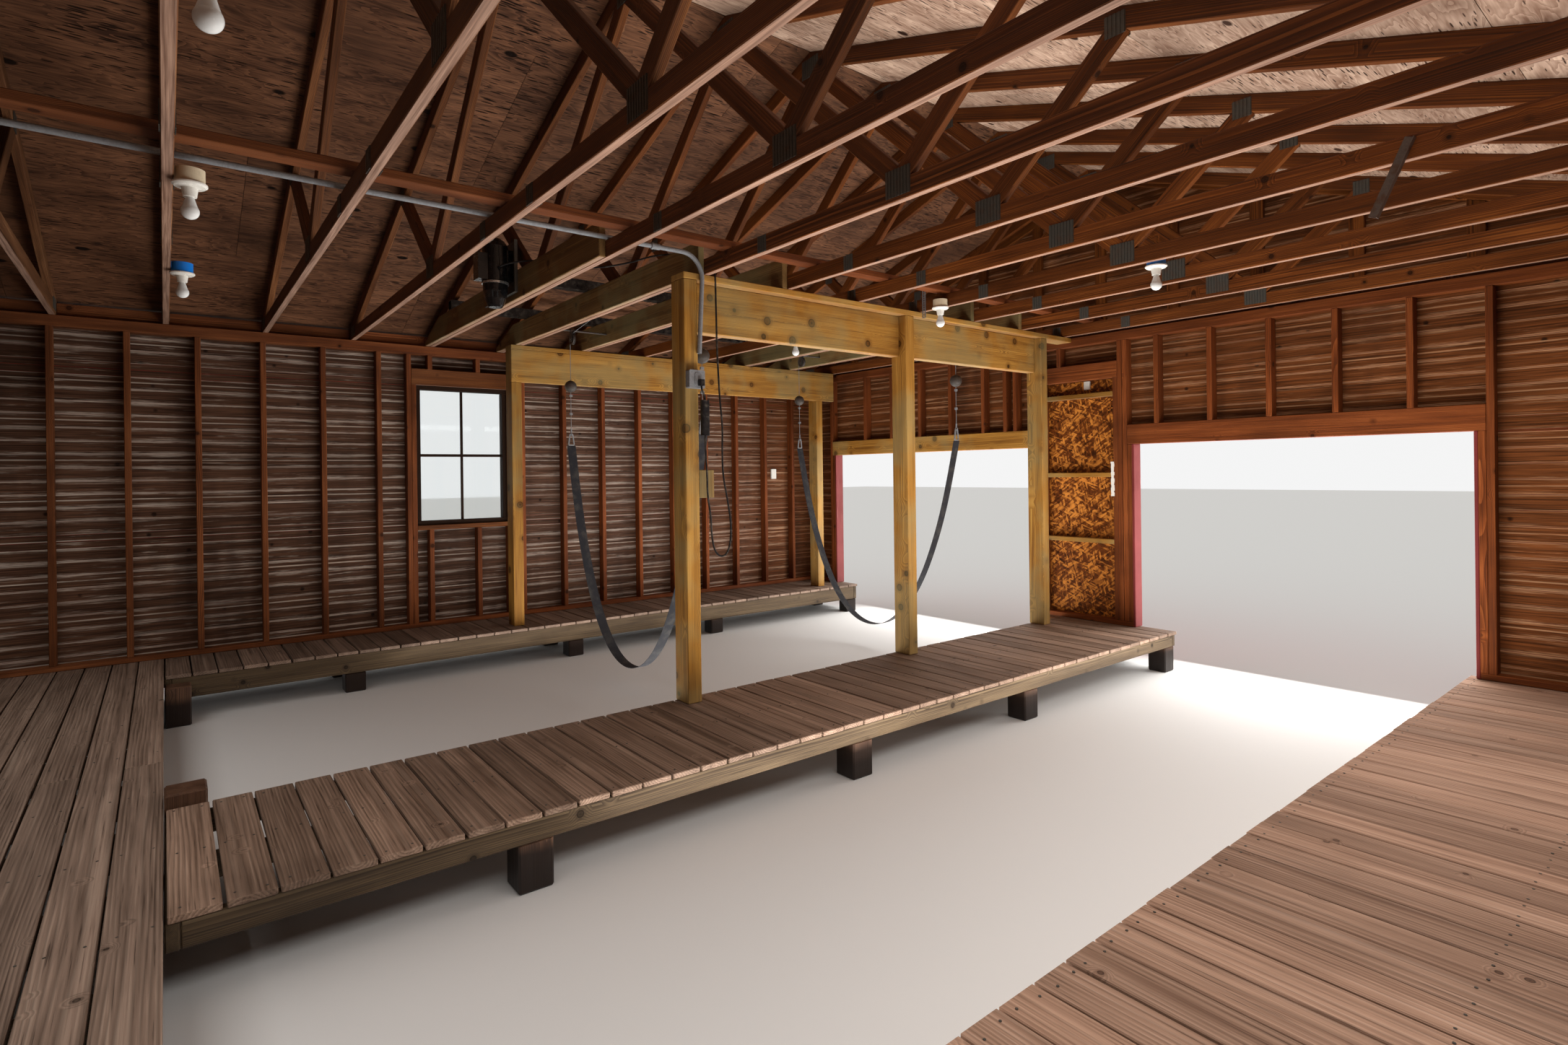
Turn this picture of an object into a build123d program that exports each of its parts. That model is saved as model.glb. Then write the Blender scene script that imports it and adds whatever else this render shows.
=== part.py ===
from build123d import *
import os
from math import acos, atan2, cos, pi, radians, sin, sqrt, tan

# A timber boathouse over water, with two boat slips, a finger pier and a boat hoist.
# Frame: +Z up, z = 0 at the water, origin under the middle of the footprint.
# The lake wall with the boat openings faces -Y, the window wall is at +X.
# Lengths are in millimetres.

os.makedirs("parts", exist_ok=True)

# Lumber sections
PLY = 38.0
STUD = 89.0
SIX = 140.0
EIGHT = 184.0
TWELVE = 286.0
POST = 140.0

# Building
SPAN = 7620.0
TRUSS_SPACING = 609.6
FIRST_TRUSS_SHIFT = 40.0
STUD_SPACING = 406.4
LENGTH = 14 * TRUSS_SPACING + 243.0
HALF_W = SPAN / 2
HALF_L = LENGTH / 2
SIDING = 20.0
SIDING_BOTTOM = 80.0
CORNER_DROP = 30.0
GAP = 1.0

# Decks and the slips between them
DECK_TOP = 310.0
DECK_BOARD = 25.0
WINDOW_WALK_X = 3061.0
FINGER_X0 = -596.0
FINGER_X1 = 381.0
RIGHT_DECK_X = -2379.0
BACK_DECK_Y = 1925.0
JOIST_SPACING = 609.6
PILE_EDGE = 12.0

# Wall heights
STUD_FOOT = DECK_TOP + PLY
PLATE_Z = DECK_TOP + 2364.0
PLATE_TOP = PLATE_Z + 2 * PLY
OPENING_HEAD = DECK_TOP + 1500.0
HEADER_DEPTH = 160.0
DOOR_HEAD = DECK_TOP + 2060.0
LINING = 19.0

# Boat openings, the closed doorway and the land-side doorway, as X ranges
LEFT_OPENING = (657.0, 3311.0)
RIGHT_OPENING = (-2425.0, -307.0)
CLOSED_DOORWAY = (-129.0, 522.0)
LAND_DOORWAY = (-3200.0, -2286.0)
SHELF_HEIGHTS = (670.0, 1230.0, 1910.0)
PANEL = 11.0
LAND_DOOR_HEAD = DECK_TOP + 2032.0

# Studs of the lake wall that follow no opening's edge, by their faces toward +X or their middles
RIGHT_CORNER_STUDS = (-2927.0, -3333.0)
LEFT_CRIPPLE_X = 2801.0
RIGHT_CRIPPLE_X = -494.0
CRIPPLES_A_SIDE = 5
PAIRED_CRIPPLES = (924.0, 812.0)
DOORWAY_CRIPPLE_X = 353.0

# Rows of piles, and the two mooring posts that end above and below the deck
PILE_INSET = 20.0
SECOND_PILE_ROW = 1850.0
THIRD_PILE_ROW = 2950.0
LAST_PILE_ROW = 1200.0
BACK_PILE_XS = (-2200.0, 1500.0)
MOORING_TOP = 50.0
MOORING_X_SHIFTS = (10.0, 160.0)

# Windows, one in each side wall
WINDOW_Y = (-585.0, 197.0)
WINDOW_Z = (DECK_TOP + 880.0, DECK_TOP + 2100.0)
SASH = 38.0
FRAME_DEPTH = 60.0
PANE = 4.0

# Roof
SLOPE = 1 / 3
HEEL = 100.0
EAVE = 300.0
RAKE = 200.0
SHEATHING = 12.0
SHINGLE = 10.0
CHORD_PLUMB = STUD * sqrt(1 + SLOPE ** 2)
BOTTOM_JOINT = SPAN / 6
TOP_JOINT = SPAN / 4
RIDGE_TOP = PLATE_TOP + HEEL + HALF_W * SLOPE
CHORD_TOP = PLATE_TOP + STUD

# Boat hoist over the left slip
POST_X = 241.0
POST_YS = (-389.5, -2199.5, -3839.5)
FAR_POST_X = 3211.0
FAR_POST_YS = (-449.5, -3920.0)
FAR_BEAM_END_Y = -4185.0
BEAM_Z = PLATE_TOP - PLY - TWELVE
BEAM_PLIES = 76.0
JOISTED_TRUSSES = (7, 8, 9, 12, 13)
TUBE = 75.0
TUBE_WALL = 5.0
TUBE_XS = (1771.0, 2960.0)
JOIST_TOP = PLATE_TOP + EIGHT

# The four lifts: a wheel over each, a wire cable, a ball weight, a snap link, and two slings between them
LIFT_XS = (691.0, 2751.0)
LIFT_YS = (-790.0, -3290.0)
LIFT_BAYS = ((8, 9), (12, 13))
CABLE = 5.0
BORE = 6.0
WHEEL = 50.0
WHEEL_PITCH = 45.0
WHEEL_Z = PLATE_TOP + 5.0
WHEEL_HALF = 12.0
CHEEK = 4.0
CHEEK_RADII = (26.0, 16.0)
PIN_HEAD = 9.0
AXLE = 8.0
AXLE_Z = WHEEL_Z + 69.0
BALL = 50.0
BALL_Z = DECK_TOP + 2050.0
CLIP_ZS = (BALL_Z - 78.0, BALL_Z - 232.0)
LINK_Z = DECK_TOP + 1600.0
LINK_HALF = 50.0
LINK_THICK = 9.0
LINK_WIDTHS = (16.0, 30.0)
SLING_WIDTH = 75.0
SLING_THICK = 3.0
SLING_SIDE = (
    (-1030.0, LINK_Z - LINK_HALF - 0.5),
    (-940.0, 1465.0),
    (-805.0, 1040.0),
    (-625.0, 645.0),
    (-405.0, 350.0),
    (-145.0, 186.0),
)

# Hoist motor, on a plate against the first joist
MOTOR_PLATE_X = (1437.0, 2037.0)
MOTOR_PLATE_Z = (2790.0, 3125.0)
PLATE_THICK = 6.0
LIP = 14.0
MOTOR_X = 1555.0
MOTOR_R = 80.0
MOTOR_STANDOFF = 18.0
MOTOR_FLANGE_Z = 2842.0
FLANGE_THICK = 14.0
GEARBOX_TALL = 145.0
CAN_TALL = 228.0
GLAND_UP = 85.0

# Wiring: a conduit over the chords, an outlet on the first post, lamps on the chords
CONDUIT_R = 13.0
CONDUIT_X = 226.0
CONDUIT_TURN_Y = -510.0
CONDUIT_END_Y = -478.0
CONDUIT_END_Z = 2290.0
CONDUIT_BEND = 130.0
OUTLET = 102.0
OUTLET_DEEP = 42.0
OUTLET_Y = -446.0
OUTLET_Z = 2141.0
SOCKET = (4.0, 34.0, 70.0)
LAMP_BOX_R = 49.0
LAMP_BOX_TALL = 54.0
LAMP_DROP = 14.0
BULB_R = 30.0
LAMPS = (
    (4, -1, 1820.0),
    (4, -1, 185.0),
    (4, -1, -1405.0),
    (11, 1, 16.0),
    (11, 1, 1600.0),
    (11, -1, -1420.0),
)

# The hoist's cord, from its plug in the outlet to a breaker, and on over the beam to the motor
CORD = 11.0
PLUG = (181.0, -462.0, 2102.0)
PLUG_REACH = 14.0
PLUG_HALF = 16.0
PLUG_TALL = 36.0
BREAKER = (34.0, 52.0, 15.0)
CORD_TO_BREAKER = (
    (181.0, -462.0, 2102.0),
    (181.0, -462.0, 2078.0),
    (200.0, -495.0, 2052.0),
    (200.0, -495.0, 2024.0),
)
CORD_TO_MOTOR = (
    (200.0, -495.0, 1824.0),
    (200.0, -495.0, 1745.0),
    (203.0, -506.0, 1610.0),
    (212.0, -512.0, 1480.0),
    (216.0, -536.0, 1370.0),
    (226.0, -546.0, 1260.0),
    (228.0, -562.0, 1172.0),
    (229.0, -600.0, 1128.0),
    (228.0, -645.0, 1132.0),
    (228.0, -676.0, 1190.0),
    (227.0, -684.0, 1310.0),
    (228.0, -661.0, 1450.0),
    (226.0, -628.0, 1600.0),
    (227.0, -626.0, 1745.0),
    (228.0, -632.0, 1880.0),
    (226.0, -613.0, 2035.0),
    (227.0, -606.0, 2185.0),
    (226.0, -597.0, 2340.0),
    (224.0, -595.0, 2490.0),
    (222.0, -591.0, 2630.0),
    (218.0, -588.0, 2740.0),
    (234.0, -590.0, 2775.0),
    (272.0, -592.0, 2778.0),
    (330.0, -597.0, 2766.0),
    (420.0, -600.0, 2790.0),
    (520.0, -592.0, 2880.0),
    (590.0, -565.0, 2950.0),
    (650.0, -525.0, 2956.0),
    (710.0, -450.0, 2948.0),
    (800.0, -360.0, 2915.0),
    (900.0, -260.0, 2895.0),
    (1010.0, -155.0, 2892.0),
    (1130.0, -60.0, 2912.0),
    (1228.0, 22.0, 2948.0),
    (1270.0, 76.0, 2961.0),
    (1322.0, 132.0, 2960.0),
    (1385.0, 223.5, 2941.0),
    (1455.0, 223.5, 2941.0),
)


def block(x0, x1, y0, y1, z0, z1):
    """A box between two corners."""
    centre = ((x0 + x1) / 2, (y0 + y1) / 2, (z0 + z1) / 2)
    return Pos(*centre) * Box(abs(x1 - x0), abs(y1 - y0), abs(z1 - z0))


def upright(points, y0, y1):
    """A prism from an outline in the X, Z plane, between two Y faces."""
    outline = [Vector(x, y0, z) for x, z in points]
    face = make_face(Polyline(*outline, close=True))
    return extrude(face, amount=abs(y1 - y0), dir=(0, 1 if y1 > y0 else -1, 0))


def mirrored(pieces):
    """The pieces and their mirror images across the middle plane."""
    return pieces + [mirror(piece, about=Plane.YZ) for piece in pieces]


def save(name, pieces):
    """Write one sub-part, as one solid or a group of solids that stay apart."""
    solids = []
    for piece in pieces:
        solids.extend(piece.solids())
    shape = solids[0] if len(solids) == 1 else Compound(solids)
    shape.label = name
    export_step(shape, f"parts/{name}.step")


def roof_line(x, drop=0.0):
    """Height of the top edge of the top chords, less a drop."""
    return RIDGE_TOP - abs(x) * SLOPE - drop


# Piles and decks

def deck_frame(x0, x1, y0, y1, depth, along_x=True):
    """Rim boards round a deck, with joists across it, a hair apart where they butt."""
    top = DECK_TOP - DECK_BOARD
    low = top - depth
    inner0 = y0 + PLY + GAP
    inner1 = y1 - PLY - GAP
    frame = [
        block(x0, x1, y0, y0 + PLY, low, top),
        block(x0, x1, y1 - PLY, y1, low, top),
        block(x0, x0 + PLY, inner0, inner1, low, top),
        block(x1 - PLY, x1, inner0, inner1, low, top),
    ]
    if along_x:
        count = int((x1 - x0) // JOIST_SPACING)
        step = (x1 - x0) / (count + 1)
        for i in range(count):
            middle = x0 + step * (i + 1)
            frame.append(block(middle - PLY / 2, middle + PLY / 2, inner0, inner1, low, top))
    else:
        count = int((y1 - y0) // JOIST_SPACING)
        step = (y1 - y0) / (count + 1)
        for i in range(count):
            middle = y0 + step * (i + 1)
            frame.append(block(x0 + PLY + GAP, x1 - PLY - GAP, middle - PLY / 2, middle + PLY / 2, low, top))
    return frame


def pile(x, y, top):
    """One square pile, named by the corner nearest the origin of its row."""
    return block(x, x + POST, y, y + POST, 0, top)


def build_decks():
    board_low = DECK_TOP - DECK_BOARD
    save("back_deck", [block(-HALF_W, HALF_W, BACK_DECK_Y, HALF_L, board_low, DECK_TOP)])
    save("window_walkway", [block(WINDOW_WALK_X, HALF_W, -HALF_L, BACK_DECK_Y, board_low, DECK_TOP)])
    save("finger_pier", [block(FINGER_X0, FINGER_X1, -HALF_L, BACK_DECK_Y, board_low, DECK_TOP)])
    save("right_deck", [block(-HALF_W, RIGHT_DECK_X, -HALF_L, BACK_DECK_Y, board_low, DECK_TOP)])
    inset = PILE_EDGE
    back = deck_frame(-HALF_W + inset, HALF_W - inset, BACK_DECK_Y + inset, HALF_L - inset, SIX)
    save("back_deck_frame", back)
    docks = deck_frame(WINDOW_WALK_X + inset, HALF_W - inset, -HALF_L + inset, BACK_DECK_Y, SIX, False)
    docks += deck_frame(FINGER_X0 + inset, FINGER_X1 - inset, -HALF_L + inset, BACK_DECK_Y, STUD)
    docks += deck_frame(-HALF_W + inset, RIGHT_DECK_X - inset, -HALF_L + inset, BACK_DECK_Y, SIX, False)
    save("dock_frames", docks)


def build_piles():
    frame_low = DECK_TOP - DECK_BOARD - SIX
    finger_low = DECK_TOP - DECK_BOARD - STUD
    low_row = -HALF_L + PILE_EDGE
    rows = [
        low_row,
        low_row + SECOND_PILE_ROW,
        BACK_DECK_Y - THIRD_PILE_ROW,
        BACK_DECK_Y - LAST_PILE_ROW,
    ]
    finger_x = FINGER_X0 + PILE_INSET
    piles = []
    for y in rows:
        piles.append(pile(HALF_W - PILE_EDGE - POST, y, frame_low))
        piles.append(pile(WINDOW_WALK_X + PILE_INSET, y, frame_low))
        piles.append(pile(finger_x, y, finger_low))
        piles.append(pile(FINGER_X1 - POST - PILE_INSET, y, finger_low))
        piles.append(pile(RIGHT_DECK_X - POST - PILE_INSET, y, frame_low))
        piles.append(pile(-HALF_W + PILE_EDGE, y, frame_low))
    back_rows = [BACK_DECK_Y + PILE_INSET, (BACK_DECK_Y + HALF_L) / 2, HALF_L - PILE_EDGE - POST]
    columns = [-HALF_W + PILE_EDGE, finger_x, HALF_W - PILE_EDGE - POST, *BACK_PILE_XS]
    for y in back_rows:
        for x in columns:
            piles.append(pile(x, y, frame_low))
    mooring_y = BACK_DECK_Y - POST
    near_shift, far_shift = MOORING_X_SHIFTS
    piles.append(pile(FINGER_X1 + near_shift, mooring_y, DECK_TOP + MOORING_TOP))
    piles.append(pile(WINDOW_WALK_X - far_shift, mooring_y, DECK_TOP - MOORING_TOP))
    save("piles", piles)


# Walls

def side_wall_stud_lines():
    """Middles of the full studs of a side wall, from the lake corner at even spacing."""
    lines = [-HALF_L + PLY / 2]
    y = -HALF_L + STUD_SPACING
    while y < HALF_L - 2 * PLY:
        lines.append(y)
        y += STUD_SPACING
    lines.append(HALF_L - PLY / 2)
    return lines


def build_side_walls():
    inner = HALF_W - STUD
    w0, w1 = WINDOW_Y
    z0, z1 = WINDOW_Z
    studs = []
    for y in side_wall_stud_lines():
        near = y - PLY / 2
        far = y + PLY / 2
        if w0 - 3 * PLY < y < w1 + 3 * PLY and w0 < far and near < w1:
            studs.append(block(inner, HALF_W, near, far, STUD_FOOT, z0 - PLY))
            studs.append(block(inner, HALF_W, near, far, z1 + SIX, PLATE_Z))
        else:
            studs.append(block(inner, HALF_W, near, far, STUD_FOOT, PLATE_Z))
    for edge, way in ((w0, -1), (w1, 1)):
        trimmer = edge + way * PLY
        king = trimmer + way * GAP
        studs.append(block(inner, HALF_W, min(edge, trimmer), max(edge, trimmer), STUD_FOOT, z1))
        outer = king + way * PLY
        studs.append(block(inner, HALF_W, min(king, outer), max(king, outer), STUD_FOOT, PLATE_Z))
    save("side_wall_studs", mirrored(studs))
    plates = [
        block(inner, HALF_W, -HALF_L, HALF_L, DECK_TOP, STUD_FOOT),
        block(inner, HALF_W, -HALF_L, HALF_L, PLATE_Z, PLATE_TOP),
    ]
    save("side_wall_plates", mirrored(plates))
    framing = [
        block(inner, HALF_W, w0 - PLY, w1 + PLY, z1, z1 + SIX),
        block(inner, HALF_W, w0, w1, z0 - PLY, z0),
    ]
    save("window_headers_and_sills", mirrored(framing))
    frame_in = HALF_W - FRAME_DEPTH
    frame_out = HALF_W + SIDING
    jamb_low = z0 + SASH + GAP
    jamb_high = z1 - SASH - GAP
    frames = [
        block(frame_in, frame_out, w0, w1, z0, z0 + SASH),
        block(frame_in, frame_out, w0, w1, z1 - SASH, z1),
        block(frame_in, frame_out, w0, w0 + SASH, jamb_low, jamb_high),
        block(frame_in, frame_out, w1 - SASH, w1, jamb_low, jamb_high),
    ]
    save("window_frames", mirrored(frames))
    middle = HALF_W - 20.0
    pane = block(middle - PANE / 2, middle + PANE / 2, w0 + SASH, w1 - SASH, z0 + SASH, z1 - SASH)
    save("window_panes", mirrored([pane]))
    outer = HALF_W + SIDING
    top = PLATE_TOP - 8.0
    siding = [
        block(HALF_W, outer, -HALF_L, w0, SIDING_BOTTOM, top),
        block(HALF_W, outer, w1, HALF_L, SIDING_BOTTOM, top),
    ]
    save("side_wall_siding", mirrored(siding))
    bands = [
        block(HALF_W, outer, w0, w1, SIDING_BOTTOM, z0),
        block(HALF_W, outer, w0, w1, z1, top),
    ]
    save("window_band_siding", mirrored(bands))


def lake_block(x0, x1, z0, z1):
    """A timber of full wall depth in the lake wall."""
    return block(x0, x1, -HALF_L, -HALF_L + STUD, z0, z1)


def lake_wall():
    """Studs, plates, headers and siding of the lake wall; its doorway and jambs are written here."""
    inner = HALF_W - STUD
    l0, l1 = LEFT_OPENING
    r0, r1 = RIGHT_OPENING
    d0, d1 = CLOSED_DOORWAY
    head = OPENING_HEAD
    header_top = head + HEADER_DEPTH
    full = []
    starts = [
        inner - PLY,
        l1 + LINING + PLY + GAP,
        l0 - LINING - 2 * PLY - GAP,
        d0 - 2 * PLY - GAP,
        r1 + LINING + PLY + GAP,
        r0 - LINING - 2 * PLY - GAP,
        -inner,
    ]
    starts += [middle - PLY / 2 for middle in RIGHT_CORNER_STUDS]
    for x in starts:
        full.append(lake_block(x, x + PLY, STUD_FOOT, PLATE_Z))
    trimmers = [
        lake_block(l1 + LINING, l1 + LINING + PLY, STUD_FOOT, head),
        lake_block(l0 - LINING - PLY, l0 - LINING, STUD_FOOT, head),
        lake_block(r1 + LINING, r1 + LINING + PLY, STUD_FOOT, head),
        lake_block(r0 - LINING - PLY, r0 - LINING, STUD_FOOT, head),
        lake_block(d0 - PLY, d0, STUD_FOOT, DOOR_HEAD),
        lake_block(d1, d1 + PLY, STUD_FOOT, DOOR_HEAD),
    ]
    cripples = []
    for i in range(CRIPPLES_A_SIDE):
        x = LEFT_CRIPPLE_X - i * STUD_SPACING
        cripples.append(lake_block(x, x + PLY, header_top, PLATE_Z))
        x = RIGHT_CRIPPLE_X - PLY / 2 - i * STUD_SPACING
        cripples.append(lake_block(x, x + PLY, header_top, PLATE_Z))
    for x in PAIRED_CRIPPLES:
        cripples.append(lake_block(x, x + PLY, header_top, PLATE_Z))
    x = DOORWAY_CRIPPLE_X
    cripples.append(lake_block(x, x + PLY, DOOR_HEAD + SIX, PLATE_Z))
    plates = [
        lake_block(l1 + LINING, inner, DECK_TOP, STUD_FOOT),
        lake_block(r1 + LINING, l0 - LINING, DECK_TOP, STUD_FOOT),
        lake_block(-inner, r0 - LINING, DECK_TOP, STUD_FOOT),
        lake_block(-inner, inner, PLATE_Z, PLATE_TOP),
    ]
    thick = 2 * PLY
    near = -HALF_L + STUD
    headers = []
    for x0, x1 in (LEFT_OPENING, RIGHT_OPENING):
        wide0 = x0 - LINING - PLY
        wide1 = x1 + LINING + PLY
        headers.append(block(wide0, wide1, near - thick, near, head, header_top))
    headers.append(block(d0 - PLY, d1 + PLY, near - thick, near, DOOR_HEAD, DOOR_HEAD + SIX))
    panel_out = -HALF_L
    panel = block(d0, d1, panel_out, panel_out + PANEL, STUD_FOOT, DOOR_HEAD)
    save("doorway_panel", [panel])
    shelves = []
    for height in SHELF_HEIGHTS:
        z = DECK_TOP + height
        shelves.append(block(d0, d1, panel_out + PANEL, near, z, z + PLY))
    save("doorway_shelves", shelves)
    jambs = []
    outside = -HALF_L - SIDING
    for x in (l1, l0 - LINING, r1, r0 - LINING):
        jambs.append(block(x, x + LINING, outside, near, DECK_TOP, head))
    save("opening_jambs", jambs)
    wall = [
        block(l1 + LINING, HALF_W + SIDING, outside, -HALF_L, SIDING_BOTTOM, head),
        block(r1 + LINING, l0 - LINING, outside, -HALF_L, SIDING_BOTTOM, head),
        block(-HALF_W - SIDING, r0 - LINING, outside, -HALF_L, SIDING_BOTTOM, head),
    ]
    return full + trimmers + cripples, plates, headers, wall, gable_siding(head, -HALF_L, outside)


def gable_siding(low, y0, y1):
    """The end wall's siding above a level, up to the roof boards."""
    edge = HALF_W + SIDING
    outline = [(-edge, low), (edge, low), (edge, roof_line(edge)), (0, RIDGE_TOP), (-edge, roof_line(edge))]
    return upright(outline, y0, y1)


def back_wall():
    """Studs, plates, header and siding of the back wall."""
    inner = HALF_W - STUD
    d0, d1 = LAND_DOORWAY
    head = LAND_DOOR_HEAD
    y0 = HALF_L - STUD
    y1 = HALF_L
    studs = [
        block(-inner, -inner + PLY, y0, y1, STUD_FOOT, PLATE_Z),
        block(inner - PLY, inner, y0, y1, STUD_FOOT, PLATE_Z),
        block(d0 - PLY, d0, y0, y1, STUD_FOOT, head),
        block(d0 - 2 * PLY - GAP, d0 - PLY - GAP, y0, y1, STUD_FOOT, PLATE_Z),
        block(d1, d1 + PLY, y0, y1, STUD_FOOT, head),
        block(d1 + PLY + GAP, d1 + 2 * PLY + GAP, y0, y1, STUD_FOOT, PLATE_Z),
    ]
    middle = (d0 + d1) / 2
    studs.append(block(middle - PLY / 2, middle + PLY / 2, y0, y1, head + SIX, PLATE_Z))
    x = HALF_W - STUD_SPACING
    while x > d1 + 4 * PLY:
        studs.append(block(x - PLY / 2, x + PLY / 2, y0, y1, STUD_FOOT, PLATE_Z))
        x -= STUD_SPACING
    plates = [
        block(-inner, d0, y0, y1, DECK_TOP, STUD_FOOT),
        block(d1, inner, y0, y1, DECK_TOP, STUD_FOOT),
        block(-inner, inner, y0, y1, PLATE_Z, PLATE_TOP),
    ]
    headers = [block(d0 - PLY, d1 + PLY, y0, y0 + 2 * PLY, head, head + SIX)]
    outside = HALF_L + SIDING
    wall = [
        block(-HALF_W - SIDING, d0, HALF_L, outside, SIDING_BOTTOM, head),
        block(d1, HALF_W + SIDING, HALF_L, outside, SIDING_BOTTOM, head),
    ]
    return studs, plates, headers, wall, gable_siding(head, HALF_L, outside)


def build_end_walls():
    lake_studs, lake_plates, lake_headers, lake_siding, lake_gable = lake_wall()
    back_studs, back_plates, back_headers, back_siding, back_gable = back_wall()
    save("end_wall_studs", lake_studs + back_studs)
    save("end_wall_plates", lake_plates + back_plates)
    save("end_wall_headers", lake_headers + back_headers)
    save("end_wall_siding", lake_siding + back_siding)
    save("gable_siding", [lake_gable, back_gable])


def build_corner_boards():
    """Two trim boards over the siding at each corner."""
    x = HALF_W + SIDING
    y = HALF_L + SIDING
    top = PLATE_TOP - CORNER_DROP
    boards = []
    for way in (-1, 1):
        near = way * (y + LINING - STUD)
        boards.append(block(x, x + LINING, near, way * (y - GAP), SIDING_BOTTOM, top))
        boards.append(block(x + LINING - STUD, x + LINING, way * y, way * (y + LINING), SIDING_BOTTOM, top))
    save("corner_boards", mirrored(boards))


# Roof

def truss_lines():
    """Far faces, toward the lake, of every truss and the two gable trusses."""
    lines = [HALF_L - PLY]
    for i in range(1, 15):
        lines.append(HALF_L - PLY - FIRST_TRUSS_SHIFT - TRUSS_SPACING * i)
    lines.append(-HALF_L)
    return lines


def web(x0, z0, x1, z1, clip):
    """A web of a truss along a line, cut to the outline of its bay."""
    turn = atan2(z1 - z0, x1 - x0)
    length = sqrt((x1 - x0) ** 2 + (z1 - z0) ** 2) + 2 * STUD
    side = (-sin(turn) * STUD / 2, cos(turn) * STUD / 2)
    ahead = (cos(turn) * length / 2, sin(turn) * length / 2)
    middle = ((x0 + x1) / 2, (z0 + z1) / 2)
    corners = []
    for a, s in ((-1, -1), (1, -1), (1, 1), (-1, 1)):
        x = middle[0] + a * ahead[0] + s * side[0]
        z = middle[1] + a * ahead[1] + s * side[1]
        corners.append((x, z))
    return upright(corners, 0, PLY) & upright(clip, 0, PLY)


def build_trusses():
    lines = truss_lines()
    low_end = PLATE_TOP + HEEL - CHORD_PLUMB
    scarf = HALF_W - (CHORD_TOP - low_end) / SLOPE
    chord = upright([
        (-HALF_W, PLATE_TOP),
        (HALF_W, PLATE_TOP),
        (HALF_W, low_end),
        (scarf, CHORD_TOP),
        (-scarf, CHORD_TOP),
        (-HALF_W, low_end),
    ], 0, PLY)
    save("truss_bottom_chords", [Pos(0, y, 0) * chord for y in lines])
    tail = HALF_W + EAVE
    half_gap = GAP / 2
    rafter = upright([
        (half_gap, roof_line(half_gap)),
        (tail, roof_line(tail)),
        (tail, roof_line(tail, CHORD_PLUMB)),
        (half_gap, roof_line(half_gap, CHORD_PLUMB)),
    ], 0, PLY)
    save("truss_top_chords", mirrored([Pos(0, y, 0) * rafter for y in lines]))
    joint = BOTTOM_JOINT
    ridge_low = roof_line(0, CHORD_PLUMB)
    outer_bay = [
        (joint + half_gap, CHORD_TOP),
        (scarf, CHORD_TOP),
        (joint + half_gap, roof_line(joint + half_gap, CHORD_PLUMB)),
    ]
    outer = web(joint, CHORD_TOP, TOP_JOINT, roof_line(TOP_JOINT, CHORD_PLUMB), outer_bay)
    inner_bay = [
        (half_gap, CHORD_TOP),
        (joint - half_gap, CHORD_TOP),
        (joint - half_gap, roof_line(joint - half_gap, CHORD_PLUMB)),
        (half_gap, roof_line(half_gap, CHORD_PLUMB)),
    ]
    inner = web(joint, CHORD_TOP, 0, ridge_low, inner_bay)
    webs = []
    for y in lines[1:-1]:
        webs.append(Pos(0, y, 0) * outer)
        webs.append(Pos(0, y, 0) * inner)
    save("truss_webs", mirrored(webs))
    studs = []
    for i in range(-5, 6):
        x = i * TRUSS_SPACING
        outline = [(x - STUD / 2, CHORD_TOP), (x + STUD / 2, CHORD_TOP)]
        outline.append((x + STUD / 2, roof_line(x + STUD / 2, CHORD_PLUMB)))
        if i == 0:
            outline.append((x, ridge_low))
        outline.append((x - STUD / 2, roof_line(x - STUD / 2, CHORD_PLUMB)))
        studs.append(upright(outline, 0, PLY))
    ends = [lines[0], lines[-1]]
    save("gable_studs", [Pos(0, y, 0) * stud for y in ends for stud in studs])
    runner_x = -35.0
    runner = block(runner_x, runner_x + STUD, lines[-1] + PLY, lines[0], CHORD_TOP, CHORD_TOP + PLY)
    save("truss_runner", [runner])
    blocks = []
    order = sorted(lines)
    for low, high in zip(order, order[1:]):
        blocks.append(block(HALF_W - PLY, HALF_W, low + PLY, high, PLATE_TOP, CHORD_TOP))
    save("eave_blocks", mirrored(blocks))


def roof_slab(base, thick, x0, x1, y0, y1):
    """One slope of a roof layer, a given height above the top chords."""
    plumb = thick * sqrt(1 + SLOPE ** 2)
    rise = base * sqrt(1 + SLOPE ** 2)
    outline = [
        (x0, roof_line(x0) + rise),
        (x1, roof_line(x1) + rise),
        (x1, roof_line(x1) + rise + plumb),
        (x0, roof_line(x0) + rise + plumb),
    ]
    return upright(outline, y0, y1)


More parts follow.
